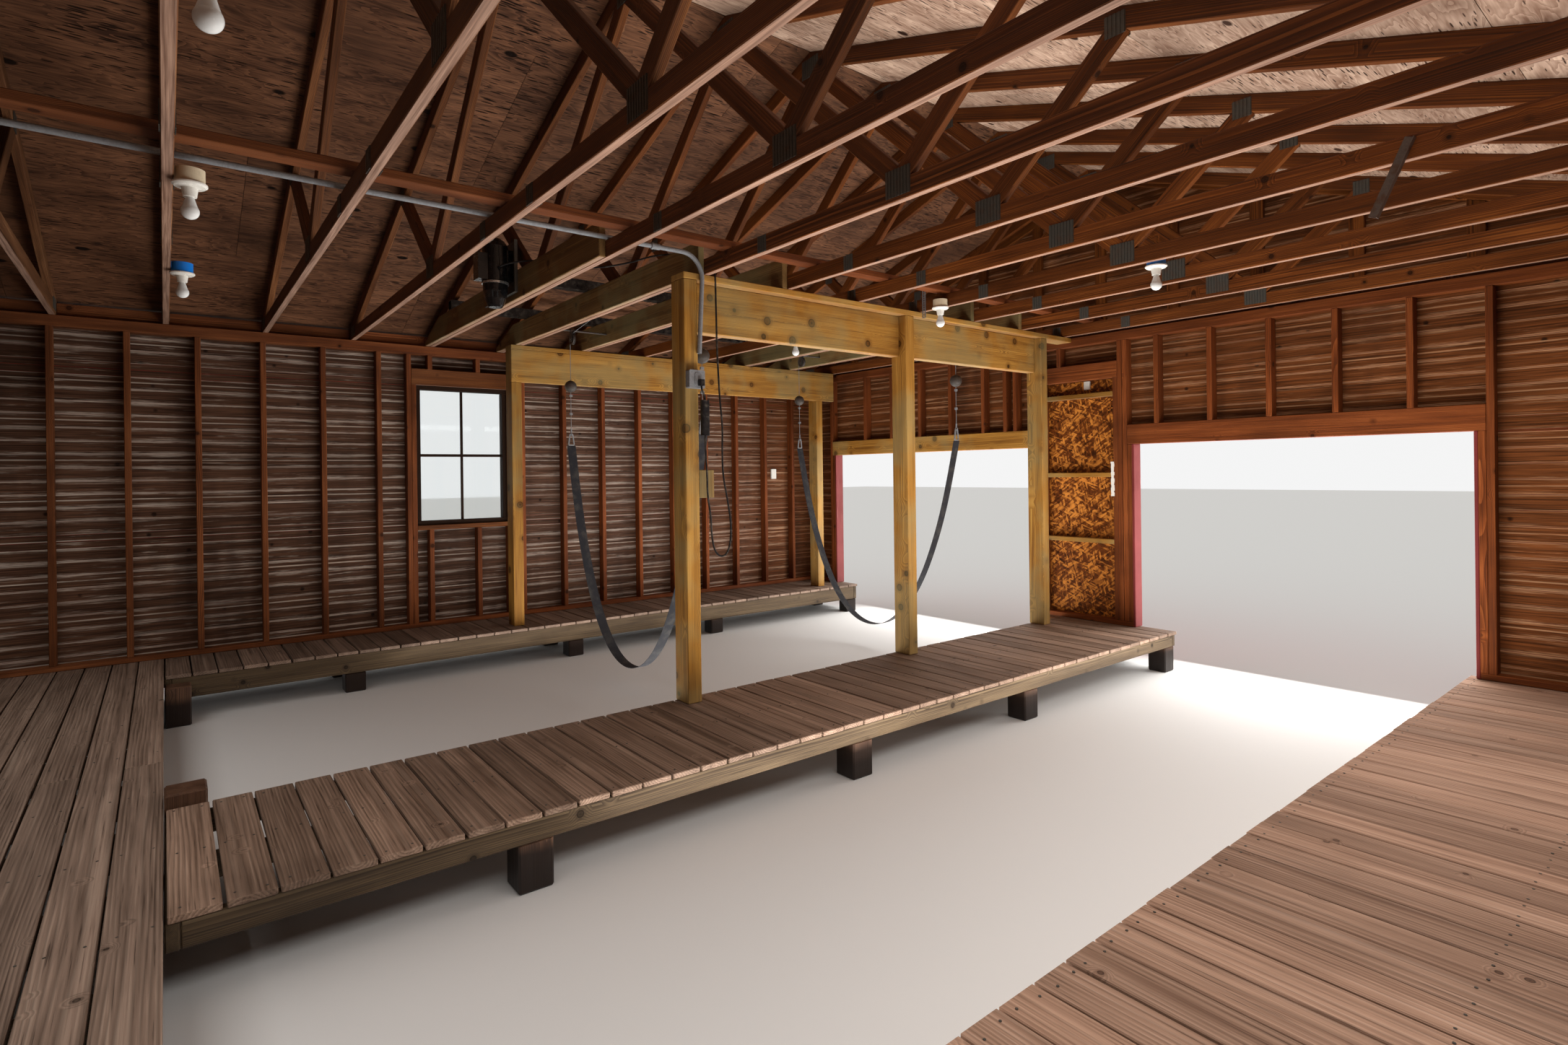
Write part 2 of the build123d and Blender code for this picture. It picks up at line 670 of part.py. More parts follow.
def build_roof():
    half = HALF_L + RAKE
    edge = HALF_W + EAVE
    boards = roof_slab(0, SHEATHING, GAP / 2, edge, -half, half)
    save("roof_sheathing", mirrored([boards]))
    shingles = roof_slab(SHEATHING, SHINGLE, GAP / 2, edge + 15.0, -half - 10.0, half + 10.0)
    save("roof_shingles", mirrored([shingles]))
    cap_low = (SHEATHING + SHINGLE) * sqrt(1 + SLOPE ** 2)
    wing = 150.0
    cap = upright([
        (GAP / 2, roof_line(GAP / 2) + cap_low),
        (wing, roof_line(wing) + cap_low),
        (wing, roof_line(wing) + cap_low + 8.0),
        (GAP / 2, roof_line(GAP / 2) + cap_low + 8.0),
    ], -half - 10.0, half + 10.0)
    save("ridge_cap", mirrored([cap]))
    fascia_top = roof_line(edge)
    fascia = block(edge, edge + LINING, -half, half, fascia_top - SIX, fascia_top - 6.0)
    save("eave_fascias", mirrored([fascia]))
    barge = upright([
        (GAP / 2, roof_line(GAP / 2)),
        (edge, roof_line(edge)),
        (edge, roof_line(edge, SIX)),
        (GAP / 2, roof_line(GAP / 2, SIX)),
    ], 0, LINING)
    ends = [Pos(0, half - LINING, 0) * barge, Pos(0, -half, 0) * barge]
    save("barge_boards", mirrored(ends))


# Boat hoist

def build_hoist():
    top = PLATE_TOP - PLY
    posts = []
    for y in POST_YS:
        posts.append(block(POST_X, POST_X + SIX, y - STUD, y, DECK_TOP, top))
    for y in FAR_POST_YS:
        post = block(FAR_POST_X, FAR_POST_X + SIX, y - STUD, y, DECK_TOP, top)
        post -= block(FAR_POST_X - 1, FAR_POST_X + PLY, y - STUD - 1, y + 1, BEAM_Z, top + 1)
        posts.append(post)
    save("hoist_posts", posts)
    far_end = FAR_BEAM_END_Y
    beams = [block(FAR_POST_X, FAR_POST_X + PLY, far_end, FAR_POST_YS[0], BEAM_Z, top)]
    near_face = POST_X + SIX - BEAM_PLIES
    for start, stop in zip(POST_YS, POST_YS[1:]):
        beams.append(block(near_face, POST_X + SIX, stop, start - STUD, BEAM_Z, top))
    save("hoist_beams", beams)
    caps = [
        block(POST_X, POST_X + SIX, -HALF_L + STUD, POST_YS[0], top, PLATE_TOP),
        block(FAR_POST_X, FAR_POST_X + SIX, far_end, FAR_POST_YS[0], top, PLATE_TOP),
    ]
    save("beam_caps", caps)
    lines = truss_lines()
    joists = []
    clip_x = HALF_W - STUD
    for index in JOISTED_TRUSSES:
        y = lines[index] + PLY
        clipped = HALF_W - (JOIST_TOP - PLATE_TOP - HEEL + CHORD_PLUMB) / SLOPE
        joist = upright([
            (POST_X, PLATE_TOP),
            (clip_x, PLATE_TOP),
            (clip_x, roof_line(clip_x, CHORD_PLUMB)),
            (clipped, JOIST_TOP),
            (POST_X, JOIST_TOP),
        ], y, y + PLY)
        joists.append(joist)
    save("hoist_joists", joists)
    first = lines[JOISTED_TRUSSES[0]] + 2 * PLY
    last = lines[JOISTED_TRUSSES[-1]]
    tubes = []
    for x in TUBE_XS:
        outer = block(x - TUBE / 2, x + TUBE / 2, last, first, JOIST_TOP, JOIST_TOP + TUBE)
        bore = TUBE / 2 - TUBE_WALL
        low = JOIST_TOP + TUBE_WALL
        outer -= block(x - bore, x + bore, last - 1, first + 1, low, JOIST_TOP + TUBE - TUBE_WALL)
        tubes.append(outer)
    save("hoist_tubes", tubes)


def lathe(points, x, y, z):
    """A turned piece about a vertical axis, from an outline of radius and height."""
    outline = [Vector(radius, 0, height) for radius, height in points]
    face = make_face(Polyline(*outline, close=True))
    return Pos(x, y, z) * revolve(face, Axis.Z)


def build_motor():
    plate_y = truss_lines()[JOISTED_TRUSSES[0]] + 2 * PLY
    mount_y = plate_y + PLATE_THICK
    x0, x1 = MOTOR_PLATE_X
    z0, z1 = MOTOR_PLATE_Z
    plate = block(x0, x1, plate_y, mount_y, z0, z1)
    plate += block(x0, x1, mount_y, mount_y + LIP, z0, z0 + PLATE_THICK)
    plate += block(x0, x0 + PLATE_THICK, mount_y, mount_y + LIP, z0, z1)
    save("motor_plate", [plate])
    axis_y = mount_y + MOTOR_STANDOFF + MOTOR_R
    low = MOTOR_FLANGE_Z - GEARBOX_TALL
    gearbox = [
        (0, low),
        (0.52 * MOTOR_R, low),
        (0.62 * MOTOR_R, low + 12),
        (0.82 * MOTOR_R, low + 55),
        (0.94 * MOTOR_R, low + 100),
        (0.97 * MOTOR_R, MOTOR_FLANGE_Z),
        (0, MOTOR_FLANGE_Z),
    ]
    bowl = lathe(gearbox, MOTOR_X, axis_y, 0)
    can_low = MOTOR_FLANGE_Z + FLANGE_THICK
    can_top = can_low + CAN_TALL
    ring = Cylinder(MOTOR_R + 4, FLANGE_THICK)
    save("motor_flange", [Pos(MOTOR_X, axis_y, MOTOR_FLANGE_Z + FLANGE_THICK / 2) * ring])
    can = [
        (0, can_low),
        (MOTOR_R, can_low),
        (MOTOR_R, can_top),
        (0.94 * MOTOR_R, can_top + 12),
        (0.74 * MOTOR_R, can_top + 38),
        (0.42 * MOTOR_R, can_top + 56),
        (0, can_top + 60),
    ]
    motor = lathe(can, MOTOR_X, axis_y, 0)
    motor += block(MOTOR_X - 55, MOTOR_X + 55, mount_y, axis_y, can_low + 10, can_top - 20)
    motor += block(MOTOR_X - 50, MOTOR_X + 50, axis_y, axis_y + MOTOR_R + 42, can_low + 6, can_low + 172)
    gland_z = can_low + GLAND_UP
    gland = Pos(MOTOR_X - MOTOR_R - 5, axis_y, gland_z) * Rot(0, 90, 0) * Cylinder(12, 30)
    save("hoist_motor", [motor + gland, bowl])


def wheel_outline():
    """Half section of a cable wheel: radius and place across it."""
    hub = WHEEL / 3
    web_edge = 0.68 * WHEEL
    web_half = WHEEL_HALF / 2
    rim_half = WHEEL_HALF - 2.0
    groove = WHEEL_PITCH - CABLE / 2 - 0.3
    right = [
        (hub, WHEEL_HALF),
        (hub, web_half),
        (web_edge, web_half),
        (web_edge + 4.0, rim_half),
        (WHEEL, rim_half),
        (groove, CABLE / 2),
    ]
    left = [(radius, -across) for radius, across in reversed(right)]
    return [(0, WHEEL_HALF)] + right + left + [(0, -WHEEL_HALF)]


def build_lifts():
    lines = truss_lines()
    middle_tube = TUBE_XS[0]
    anchor_z = JOIST_TOP + 10.0
    outline = [Vector(radius, across, 0) for radius, across in wheel_outline()]
    wheel = revolve(make_face(Polyline(*outline, close=True)), Axis.Y)
    low_r, high_r = CHEEK_RADII
    tall = AXLE_Z - WHEEL_Z
    cheek_face = Circle(low_r) + Pos(0, tall) * Circle(high_r)
    neck = [(-low_r, 0), (low_r, 0), (high_r, tall), (-high_r, tall)]
    cheek_face += make_face(Polyline(*neck, close=True))
    cheek_face -= Pos(0, tall) * Circle(AXLE + 0.3)
    cheek = extrude(Plane.XZ * cheek_face, amount=-CHEEK)
    cheek += Pos(0, CHEEK + PIN_HEAD / 4, 0) * Rot(90, 0, 0) * Cylinder(PIN_HEAD, PIN_HEAD / 2)
    top_half, low_half = LINK_WIDTHS
    link_outline = [
        (-top_half, LINK_HALF),
        (top_half, LINK_HALF),
        (low_half, -LINK_HALF),
        (-low_half, -LINK_HALF),
    ]
    link_face = fillet(make_face(Polyline(*link_outline, close=True)).vertices(), 14)
    link_face -= offset(link_face, amount=-LINK_THICK)
    link = extrude(Plane.YZ * link_face, amount=LINK_THICK / 2, both=True)
    eye_z = LINK_Z + LINK_HALF - 2.5
    eye = Rot(90, 0, 0) * Torus(12, 3) + Pos(0, 0, 29) * Cylinder(6, 32)
    cable_low = eye_z + 45.0
    wheels = []
    cheeks = []
    cables = []
    balls = []
    fittings = []
    for y, (near, far) in zip(LIFT_YS, LIFT_BAYS):
        for x in LIFT_XS:
            way = 1 if x < middle_tube else -1
            centre = x + way * WHEEL_PITCH
            wheels.append(Pos(centre, y, WHEEL_Z) * wheel)
            hung = Pos(0, WHEEL_HALF, 0) * cheek
            cheeks.append(Pos(centre, y, WHEEL_Z) * hung)
            cheeks.append(Pos(centre, y, WHEEL_Z) * mirror(hung, about=Plane.XZ))
            start = lines[near]
            stop = lines[far] + 2 * PLY
            rod = Rot(90, 0, 0) * Cylinder(AXLE, abs(stop - start))
            wheels.append(Pos(centre, (start + stop) / 2, AXLE_Z) * rod)
            reach = abs(middle_tube - centre) - TUBE / 2 - 0.5
            rise = anchor_z - WHEEL_Z
            turn = atan2(rise, reach) + acos(WHEEL_PITCH / sqrt(reach ** 2 + rise ** 2))
            top = (WHEEL_PITCH * cos(turn), WHEEL_PITCH * sin(turn))
            half = (turn + pi) / 2
            crest = (WHEEL_PITCH * cos(half), WHEEL_PITCH * sin(half))
            left = Vector(-WHEEL_PITCH, 0, 0)
            up = Line(Vector(-WHEEL_PITCH, 0, cable_low - WHEEL_Z), left)
            over = ThreePointArc(left, Vector(crest[0], 0, crest[1]), Vector(top[0], 0, top[1]))
            run = Line(Vector(top[0], 0, top[1]), Vector(reach, 0, rise))
            path = Wire([up, over, run])
            rope = sweep(Plane(origin=path @ 0, z_dir=path % 0) * Circle(CABLE / 2), path=path)
            if way < 0:
                rope = mirror(rope, about=Plane.YZ)
            cables.append(Pos(centre, y, WHEEL_Z) * rope)
            bore = Cylinder(BORE / 2, 2 * BALL + 2)
            balls.append(Pos(x, y, BALL_Z) * (Sphere(BALL) - bore))
            for z in CLIP_ZS:
                fittings.append(Pos(x, y, z) * (Box(14, 24, 18) - Cylinder(BORE / 2, 20)))
            fittings.append(Pos(x, y, LINK_Z) * link)
            fittings.append(Pos(x, y, eye_z) * eye)
    save("lift_wheels", wheels)
    save("lift_wheel_cheeks", cheeks)
    save("lift_cables", cables)
    save("cable_balls", balls)
    save("cable_fittings", fittings)


def corner_radii(points):
    """The largest arcs that a route's runs allow, one for each corner."""
    radii = []
    for before, corner, after in zip(points, points[1:], points[2:]):
        run_in = Vector(corner) - Vector(before)
        run_out = Vector(after) - Vector(corner)
        turn = run_in.get_angle(run_out)
        radii.append(0.45 * min(run_in.length, run_out.length) / tan(radians(turn) / 2))
    return radii


def build_slings():
    middle = sum(LIFT_XS) / 2
    points = [(x, z) for x, z in SLING_SIDE]
    points += [(-x, z) for x, z in reversed(SLING_SIDE)]
    radii = corner_radii([(x, z, 0) for x, z in points])
    path = FilletPolyline(*points, radius=radii)
    band = trace(path, line_width=SLING_THICK)
    sling = extrude(Plane.XZ * band, amount=SLING_WIDTH / 2, both=True)
    for name, y in zip(("back_sling", "lake_sling"), LIFT_YS):
        save(name, [Pos(middle, y, 0) * sling])
    print("sling", round(path.length), "radii", [round(radius) for radius in radii])


# Wiring

def build_wiring():
    conduit_z = CHORD_TOP + CONDUIT_R
    route = [
        (CONDUIT_X, HALF_L - STUD, conduit_z),
        (CONDUIT_X, CONDUIT_TURN_Y, conduit_z),
        (CONDUIT_X, CONDUIT_END_Y, CONDUIT_END_Z),
    ]
    path = FilletPolyline(*route, radius=CONDUIT_BEND)
    conduit = sweep(Plane(origin=path @ 0, z_dir=path % 0) * Circle(CONDUIT_R), path=path)
    conduit -= Pos(*route[-1]) * Cylinder(CONDUIT_R - 2, 80)
    save("conduit", [conduit])
    face_x = POST_X - OUTLET_DEEP
    box = Pos((face_x + POST_X) / 2, OUTLET_Y, OUTLET_Z) * Box(OUTLET_DEEP, OUTLET, OUTLET)
    box = fillet(box.edges().filter_by(Axis.X), 8)
    socket = Pos(face_x - SOCKET[0] / 2, OUTLET_Y, OUTLET_Z) * Box(*SOCKET)
    save("outlet_box", [box + fillet(socket.edges().filter_by(Axis.X), 12)])
    lines = truss_lines()
    boxes = []
    holders = []
    bulbs = []
    holder = [(0, 0), (57, 0), (57, -6), (50, -12), (27, -16), (22, -50), (0, -50)]
    bulb = Pos(0, 0, -105) * Sphere(BULB_R) + Pos(0, 0, -71) * Cone(26, 13, 42)
    for index, side, x in LAMPS:
        face = lines[index] + PLY if side > 0 else lines[index]
        y = face + side * LAMP_BOX_R
        lamp_box = Pos(x, y, PLATE_TOP + LAMP_BOX_TALL / 2 - LAMP_DROP) * Cylinder(LAMP_BOX_R, LAMP_BOX_TALL)
        tab_low = PLATE_TOP + 4.0
        lamp_box += block(x - 20, x + 20, face, y, tab_low, PLATE_TOP + LAMP_BOX_TALL - LAMP_DROP)
        boxes.append(lamp_box)
        flange_z = PLATE_TOP - LAMP_DROP
        holders.append(lathe(holder, x, y, flange_z))
        bulbs.append(Pos(x, y, flange_z) * bulb)
    save("lamp_boxes", boxes)
    save("lamp_holders", holders)
    save("lamp_bulbs", bulbs)


def tube(points):
    """A round cord along a route, with arcs at its corners."""
    radii = corner_radii(points)
    path = FilletPolyline(*points, radius=radii)
    solid = sweep(Plane(origin=path @ 0, z_dir=path % 0) * Circle(CORD / 2), path=path)
    expected = pi * (CORD / 2) ** 2 * path.length
    share = round(solid.volume / expected, 3)
    print("cord", round(path.length), "least radius", round(min(radii)), "volume", share)
    return solid


def build_cord():
    x, y, z = PLUG
    face_x = POST_X - OUTLET_DEEP - SOCKET[0]
    plug = block(x - PLUG_REACH, face_x, y - PLUG_HALF, y + PLUG_HALF, z, z + PLUG_TALL)
    plug = fillet(plug.edges().filter_by(Axis.Z), 6)
    x, y, z = CORD_TO_MOTOR[0]
    tall = CORD_TO_BREAKER[-1][2] - z
    body = extrude(Plane.XY * RectangleRounded(*BREAKER), amount=tall)
    save("plug_and_breaker", [plug, Pos(x, y, z) * body])
    save("plug_cord", [tube(CORD_TO_BREAKER)])
    save("motor_cord", [tube(CORD_TO_MOTOR)])


build_decks()
build_piles()
build_side_walls()
build_end_walls()
build_corner_boards()
build_trusses()
build_roof()
build_hoist()
build_motor()
build_lifts()
build_slings()
build_wiring()
build_cord()
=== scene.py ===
import math
import random
import bmesh
import bpy
from mathutils import Matrix, Vector


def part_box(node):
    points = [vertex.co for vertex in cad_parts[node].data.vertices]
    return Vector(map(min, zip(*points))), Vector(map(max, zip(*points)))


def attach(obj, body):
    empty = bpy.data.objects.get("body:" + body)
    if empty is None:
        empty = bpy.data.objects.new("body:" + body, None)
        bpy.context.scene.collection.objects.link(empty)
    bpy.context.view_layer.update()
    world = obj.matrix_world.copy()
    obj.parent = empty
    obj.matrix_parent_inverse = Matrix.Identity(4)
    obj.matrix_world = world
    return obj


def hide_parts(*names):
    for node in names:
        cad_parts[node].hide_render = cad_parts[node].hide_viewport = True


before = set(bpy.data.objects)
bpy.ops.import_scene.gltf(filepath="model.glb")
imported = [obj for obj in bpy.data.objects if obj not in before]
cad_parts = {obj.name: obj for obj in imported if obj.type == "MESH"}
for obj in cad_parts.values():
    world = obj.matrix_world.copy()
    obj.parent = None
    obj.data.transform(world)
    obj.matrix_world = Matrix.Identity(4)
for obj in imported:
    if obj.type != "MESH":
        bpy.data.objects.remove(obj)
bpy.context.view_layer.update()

# The boathouse dressed for its render: timber, siding, roof, hoist and light.
# Lengths are in metres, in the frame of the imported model.

SCENE = bpy.context.scene
RANDOM = random.Random(20)

# The photograph's frame, in pixels, and the camera that was fitted to it
PHOTO_W = 2172
PHOTO_H = 1448
FOCAL_PIXELS = 1086.29
HORIZON_ROW = 656.66
CAMERA_PLACE = (-3.559, 1.9105, 1.605)
CAMERA_YAW = -38.31
CAMERA_PITCH = -0.049
CAMERA_ROLL = -0.707
SENSOR = 36.0

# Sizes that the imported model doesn't give by itself
BOARD_PITCH = 0.1435
COURSE = 0.0937
COURSE_LINE = 1.612
PANEL_LINE = 1.476
LAND_DOORWAY = (-3.2, -2.286)
LAND_DOOR_HEAD = 2.342
SHINGLE_EXPOSURE = 0.143
SLOPE = 1 / 3
RUN = math.sqrt(1 + SLOPE ** 2)
STUD_DEPTH = 0.089
PLANK = 0.038

# How much the edges of timber are eased
EASE = 0.003
DEEP_EASE = 0.004
PILE_EASE = 0.008
BAR_EASE = 0.002


def link(piece):
    """Put a new object into the scene."""
    SCENE.collection.objects.link(piece)
    return piece


def srgb(red, green, blue):
    """A colour as it looks on a screen, 0 to 255, as Blender's linear colour."""
    linear = []
    for value in (red, green, blue):
        share = value / 255
        if share <= 0.04045:
            linear.append(share / 12.92)
        else:
            linear.append(((share + 0.055) / 1.055) ** 2.4)
    return (*linear, 1.0)


# Camera

def make_camera():
    data = bpy.data.cameras.new("camera")
    data.sensor_fit = "HORIZONTAL"
    data.sensor_width = SENSOR
    data.lens = FOCAL_PIXELS / PHOTO_W * SENSOR
    data.shift_y = -(PHOTO_H / 2 - HORIZON_ROW) / PHOTO_W
    data.clip_start = 0.05
    data.clip_end = 300.0
    camera = link(bpy.data.objects.new("camera", data))
    yaw = math.radians(CAMERA_YAW)
    pitch = math.radians(CAMERA_PITCH)
    ahead = Vector((math.cos(yaw) * math.cos(pitch), math.sin(yaw) * math.cos(pitch), math.sin(pitch)))
    level = ahead.to_track_quat("-Z", "Y").to_matrix()
    roll = Matrix.Rotation(math.radians(CAMERA_ROLL), 3, "Z")
    camera.rotation_euler = (level @ roll).to_euler()
    camera.location = CAMERA_PLACE
    SCENE.camera = camera


# Node helpers

# The mix node's sockets for colours come after those for numbers and vectors
COLOUR_A = 6
COLOUR_B = 7
COLOUR_RESULT = 2


class Shader:
    """A material's node tree, with short calls for the nodes used here."""

    def __init__(self, name):
        self.material = bpy.data.materials.new(name)
        self.material.use_nodes = True
        self.tree = self.material.node_tree
        self.base = self.tree.nodes["Principled BSDF"]

    def node(self, kind, **settings):
        made = self.tree.nodes.new(kind)
        for key, value in settings.items():
            setattr(made, key, value)
        return made

    def set(self, made, **values):
        """Plain values for a node's sockets."""
        for key, value in values.items():
            made.inputs[key].default_value = value

    def put(self, socket, value):
        """Set a socket, or link another socket into it."""
        if isinstance(value, bpy.types.NodeSocket):
            self.tree.links.new(value, socket)
        else:
            socket.default_value = value

    def math(self, operation, a, b=0.0, clamp=False):
        made = self.node("ShaderNodeMath", operation=operation, use_clamp=clamp)
        self.put(made.inputs[0], a)
        self.put(made.inputs[1], b)
        return made.outputs[0]

    def add(self, a, b):
        return self.math("ADD", a, b)

    def times(self, a, b, clamp=False):
        return self.math("MULTIPLY", a, b, clamp)

    def scaled(self, a, b):
        """Two vectors or colours multiplied part by part."""
        made = self.node("ShaderNodeVectorMath", operation="MULTIPLY")
        self.put(made.inputs[0], a)
        self.put(made.inputs[1], b)
        return made.outputs[0]

    def noise(self, place, scale, detail=3.0, rough=0.55, twist=0.0):
        made = self.node("ShaderNodeTexNoise")
        self.put(made.inputs["Vector"], place)
        self.set(made, Scale=scale, Detail=detail, Roughness=rough, Distortion=twist)
        return made.outputs["Fac"]

    def fibre(self, grain, along, across, detail=3.0, rough=0.6, twist=0.0):
        """Noise drawn out along the grain."""
        return self.noise(self.scaled(grain, (along, across, across)), 1.0, detail, rough, twist)

    def cells(self, place, scale, output="Distance"):
        made = self.node("ShaderNodeTexVoronoi")
        self.put(made.inputs["Vector"], place)
        self.set(made, Scale=scale)
        return made.outputs[output]

    def ramp(self, value, low, high, out_low=0.0, out_high=1.0):
        made = self.node("ShaderNodeMapRange")
        self.put(made.inputs["Value"], value)
        self.set(made, **{"From Min": low, "From Max": high, "To Min": out_low, "To Max": out_high})
        return made.outputs["Result"]

    def mix(self, share, a, b):
        """Colour a, with b over it by a share."""
        made = self.node("ShaderNodeMix", data_type="RGBA")
        self.put(made.inputs["Factor"], share)
        self.put(made.inputs[COLOUR_A], a)
        self.put(made.inputs[COLOUR_B], b)
        return made.outputs[COLOUR_RESULT]

    def object_place(self):
        return self.node("ShaderNodeTexCoord").outputs["Object"]

    def attribute(self, name):
        return self.node("ShaderNodeAttribute", attribute_name=name).outputs["Vector"]

    def split(self, value):
        made = self.node("ShaderNodeSeparateXYZ")
        self.put(made.inputs[0], value)
        return made.outputs

    def grey(self, value):
        """The same number three times, as a vector."""
        made = self.node("ShaderNodeCombineXYZ")
        for socket in made.inputs:
            self.put(socket, value)
        return made.outputs[0]

    def by_lot(self, colour, low, high):
        """A colour made darker or lighter board by board, between two shares."""
        lot = self.split(self.attribute("lot"))
        return self.scaled(colour, self.grey(self.ramp(lot[2], 0.0, 1.0, low, high)))

    def bump(self, height, strength, distance=0.002):
        made = self.node("ShaderNodeBump")
        self.set(made, Strength=strength, Distance=distance)
        self.put(made.inputs["Height"], height)
        self.put(self.base.inputs["Normal"], made.outputs["Normal"])

    def finish(self, colour, rough, metal=0.0):
        self.put(self.base.inputs["Base Color"], colour)
        self.put(self.base.inputs["Roughness"], rough)
        self.base.inputs["Metallic"].default_value = metal
        return self.material


# Materials

# Painted light: orange casts that stand in for the daylight coming in from the lake
LAKE_LIGHT_TINT = (1.0, 0.58, 0.12)
DEEP_LAKE_LIGHT_TINT = (1.34, 0.86, 0.4)
TREATED_GREEN = (0.25, 0.26, 0.13, 1.0)


def faded(colour, share):
    """A colour with its light cut to a share."""
    return tuple(share * part for part in colour[:3]) + (1.0,)


def growth_rings(s, grain, knot, knots, rings):
    """Saw-tooth of the yearly rings about a pith off the board, pushed aside round each knot."""
    lot = s.split(s.attribute("lot"))
    across, thick = s.split(grain)[1:]
    sway = s.fibre(grain, 0.9, 7.0, 1.0, 0.55)
    pith_across = s.times(s.math("SUBTRACT", lot[0], 0.5), 0.16)
    off_across = s.add(s.add(across, pith_across), s.times(sway, 0.045))
    off_thick = s.add(thick, s.add(0.02, s.times(lot[1], 0.1)))
    square = s.add(s.math("POWER", off_across, 2.0), s.math("POWER", off_thick, 2.0))
    turns = s.math("DIVIDE", s.math("SQRT", square), rings)
    return s.math("FRACT", s.add(turns, s.ramp(knot, knots, knots * 3.2, 2.6, 0.0)))


def with_knots(s, face, knot, knots, dark):
    """Knots over a face, each with a dark halo, a black rim, a brown middle and a black heart."""
    core = faded(dark, 0.35)
    face = s.mix(s.ramp(knot, knots * 1.9, knots * 1.1, 0.0, 0.6), face, dark)
    face = s.mix(s.ramp(knot, knots * 1.05, knots * 0.95), face, core)
    face = s.mix(s.ramp(knot, knots * 0.85, knots * 0.7), face, faded(dark, 0.75))
    return s.mix(s.ramp(knot, knots * 0.4, knots * 0.25), face, core)


def wood(name, dark, middle, light, knots=0.09, rings=0.0045, stain=0.35, rough=0.75, depth=0.5, cracks=0.0,
         painted_lake_light=0.0, waterline=0.0, painted_underlight=0.0, lines=0.0, green=0.0):
    """Sawn lumber in each board's own grain: rings that bend round knots, streaks, cracks and stains, with a
    painted orange cast of lake light and painted light from the water on the undersides.
    """
    s = Shader(name)
    grain = s.attribute("grain")
    place = s.object_place()
    core = faded(dark, 0.35)
    knot = s.cells(grain, 5.5)
    ring = growth_rings(s, grain, knot, knots, rings)
    fine = s.fibre(grain, 3.0, 150.0)
    broad = s.fibre(grain, 1.3, 16.0, 1.0, 0.55)
    figure = s.add(s.add(s.times(ring, 0.36), s.times(fine, 0.72)), s.times(broad, 0.55))
    face = s.mix(s.ramp(figure, 0.54, 0.98), dark, middle)
    face = s.mix(s.ramp(figure, 0.92, 1.35), face, light)
    face = with_knots(s, face, knot, knots, dark)
    if cracks:
        face = s.mix(s.ramp(fine, 0.37, 0.3, 0.0, cracks), face, core)
    if lines:
        face = s.mix(s.ramp(ring, 0.72, 0.96, 0.0, lines), face, core)
    patch = s.noise(place, 1.7, 3.0, 0.62)
    if green:
        face = s.mix(s.ramp(patch, 0.44, 0.6, 0.0, green), face, TREATED_GREEN)
    toned = s.by_lot(face, 0.74, 1.2)
    toned = s.mix(s.ramp(patch, 0.52, 0.72, 0.0, stain), toned, faded(dark, 0.45))
    # Painted light: an orange cast that grows towards the lake, for the lake daylight
    if painted_lake_light:
        lake_lit = s.ramp(s.split(place)[1], 2.2, -1.2, 0.0, painted_lake_light)
        toned = s.mix(lake_lit, toned, s.scaled(toned, LAKE_LIGHT_TINT))
    # Painted light: down-facing faces turn paler and pinker, standing in for light thrown up from the water
    if painted_underlight:
        upward = s.split(s.node("ShaderNodeNewGeometry").outputs["Normal"])[2]
        pale = s.mix(s.ramp(fine, 0.3, 0.7), srgb(112, 84, 70), srgb(184, 152, 132))
        toned = s.mix(s.ramp(upward, -0.995, -0.96, painted_underlight, 0.0), toned, pale)
    if waterline:
        height = s.add(s.split(place)[2], s.times(patch, 0.12))
        toned = s.mix(s.ramp(height, waterline, waterline + 0.05), faded(dark, 0.4), toned)
    s.bump(fine, depth)
    return s.finish(toned, s.ramp(fine, 0.3, 0.7, rough - 0.1, rough + 0.12))


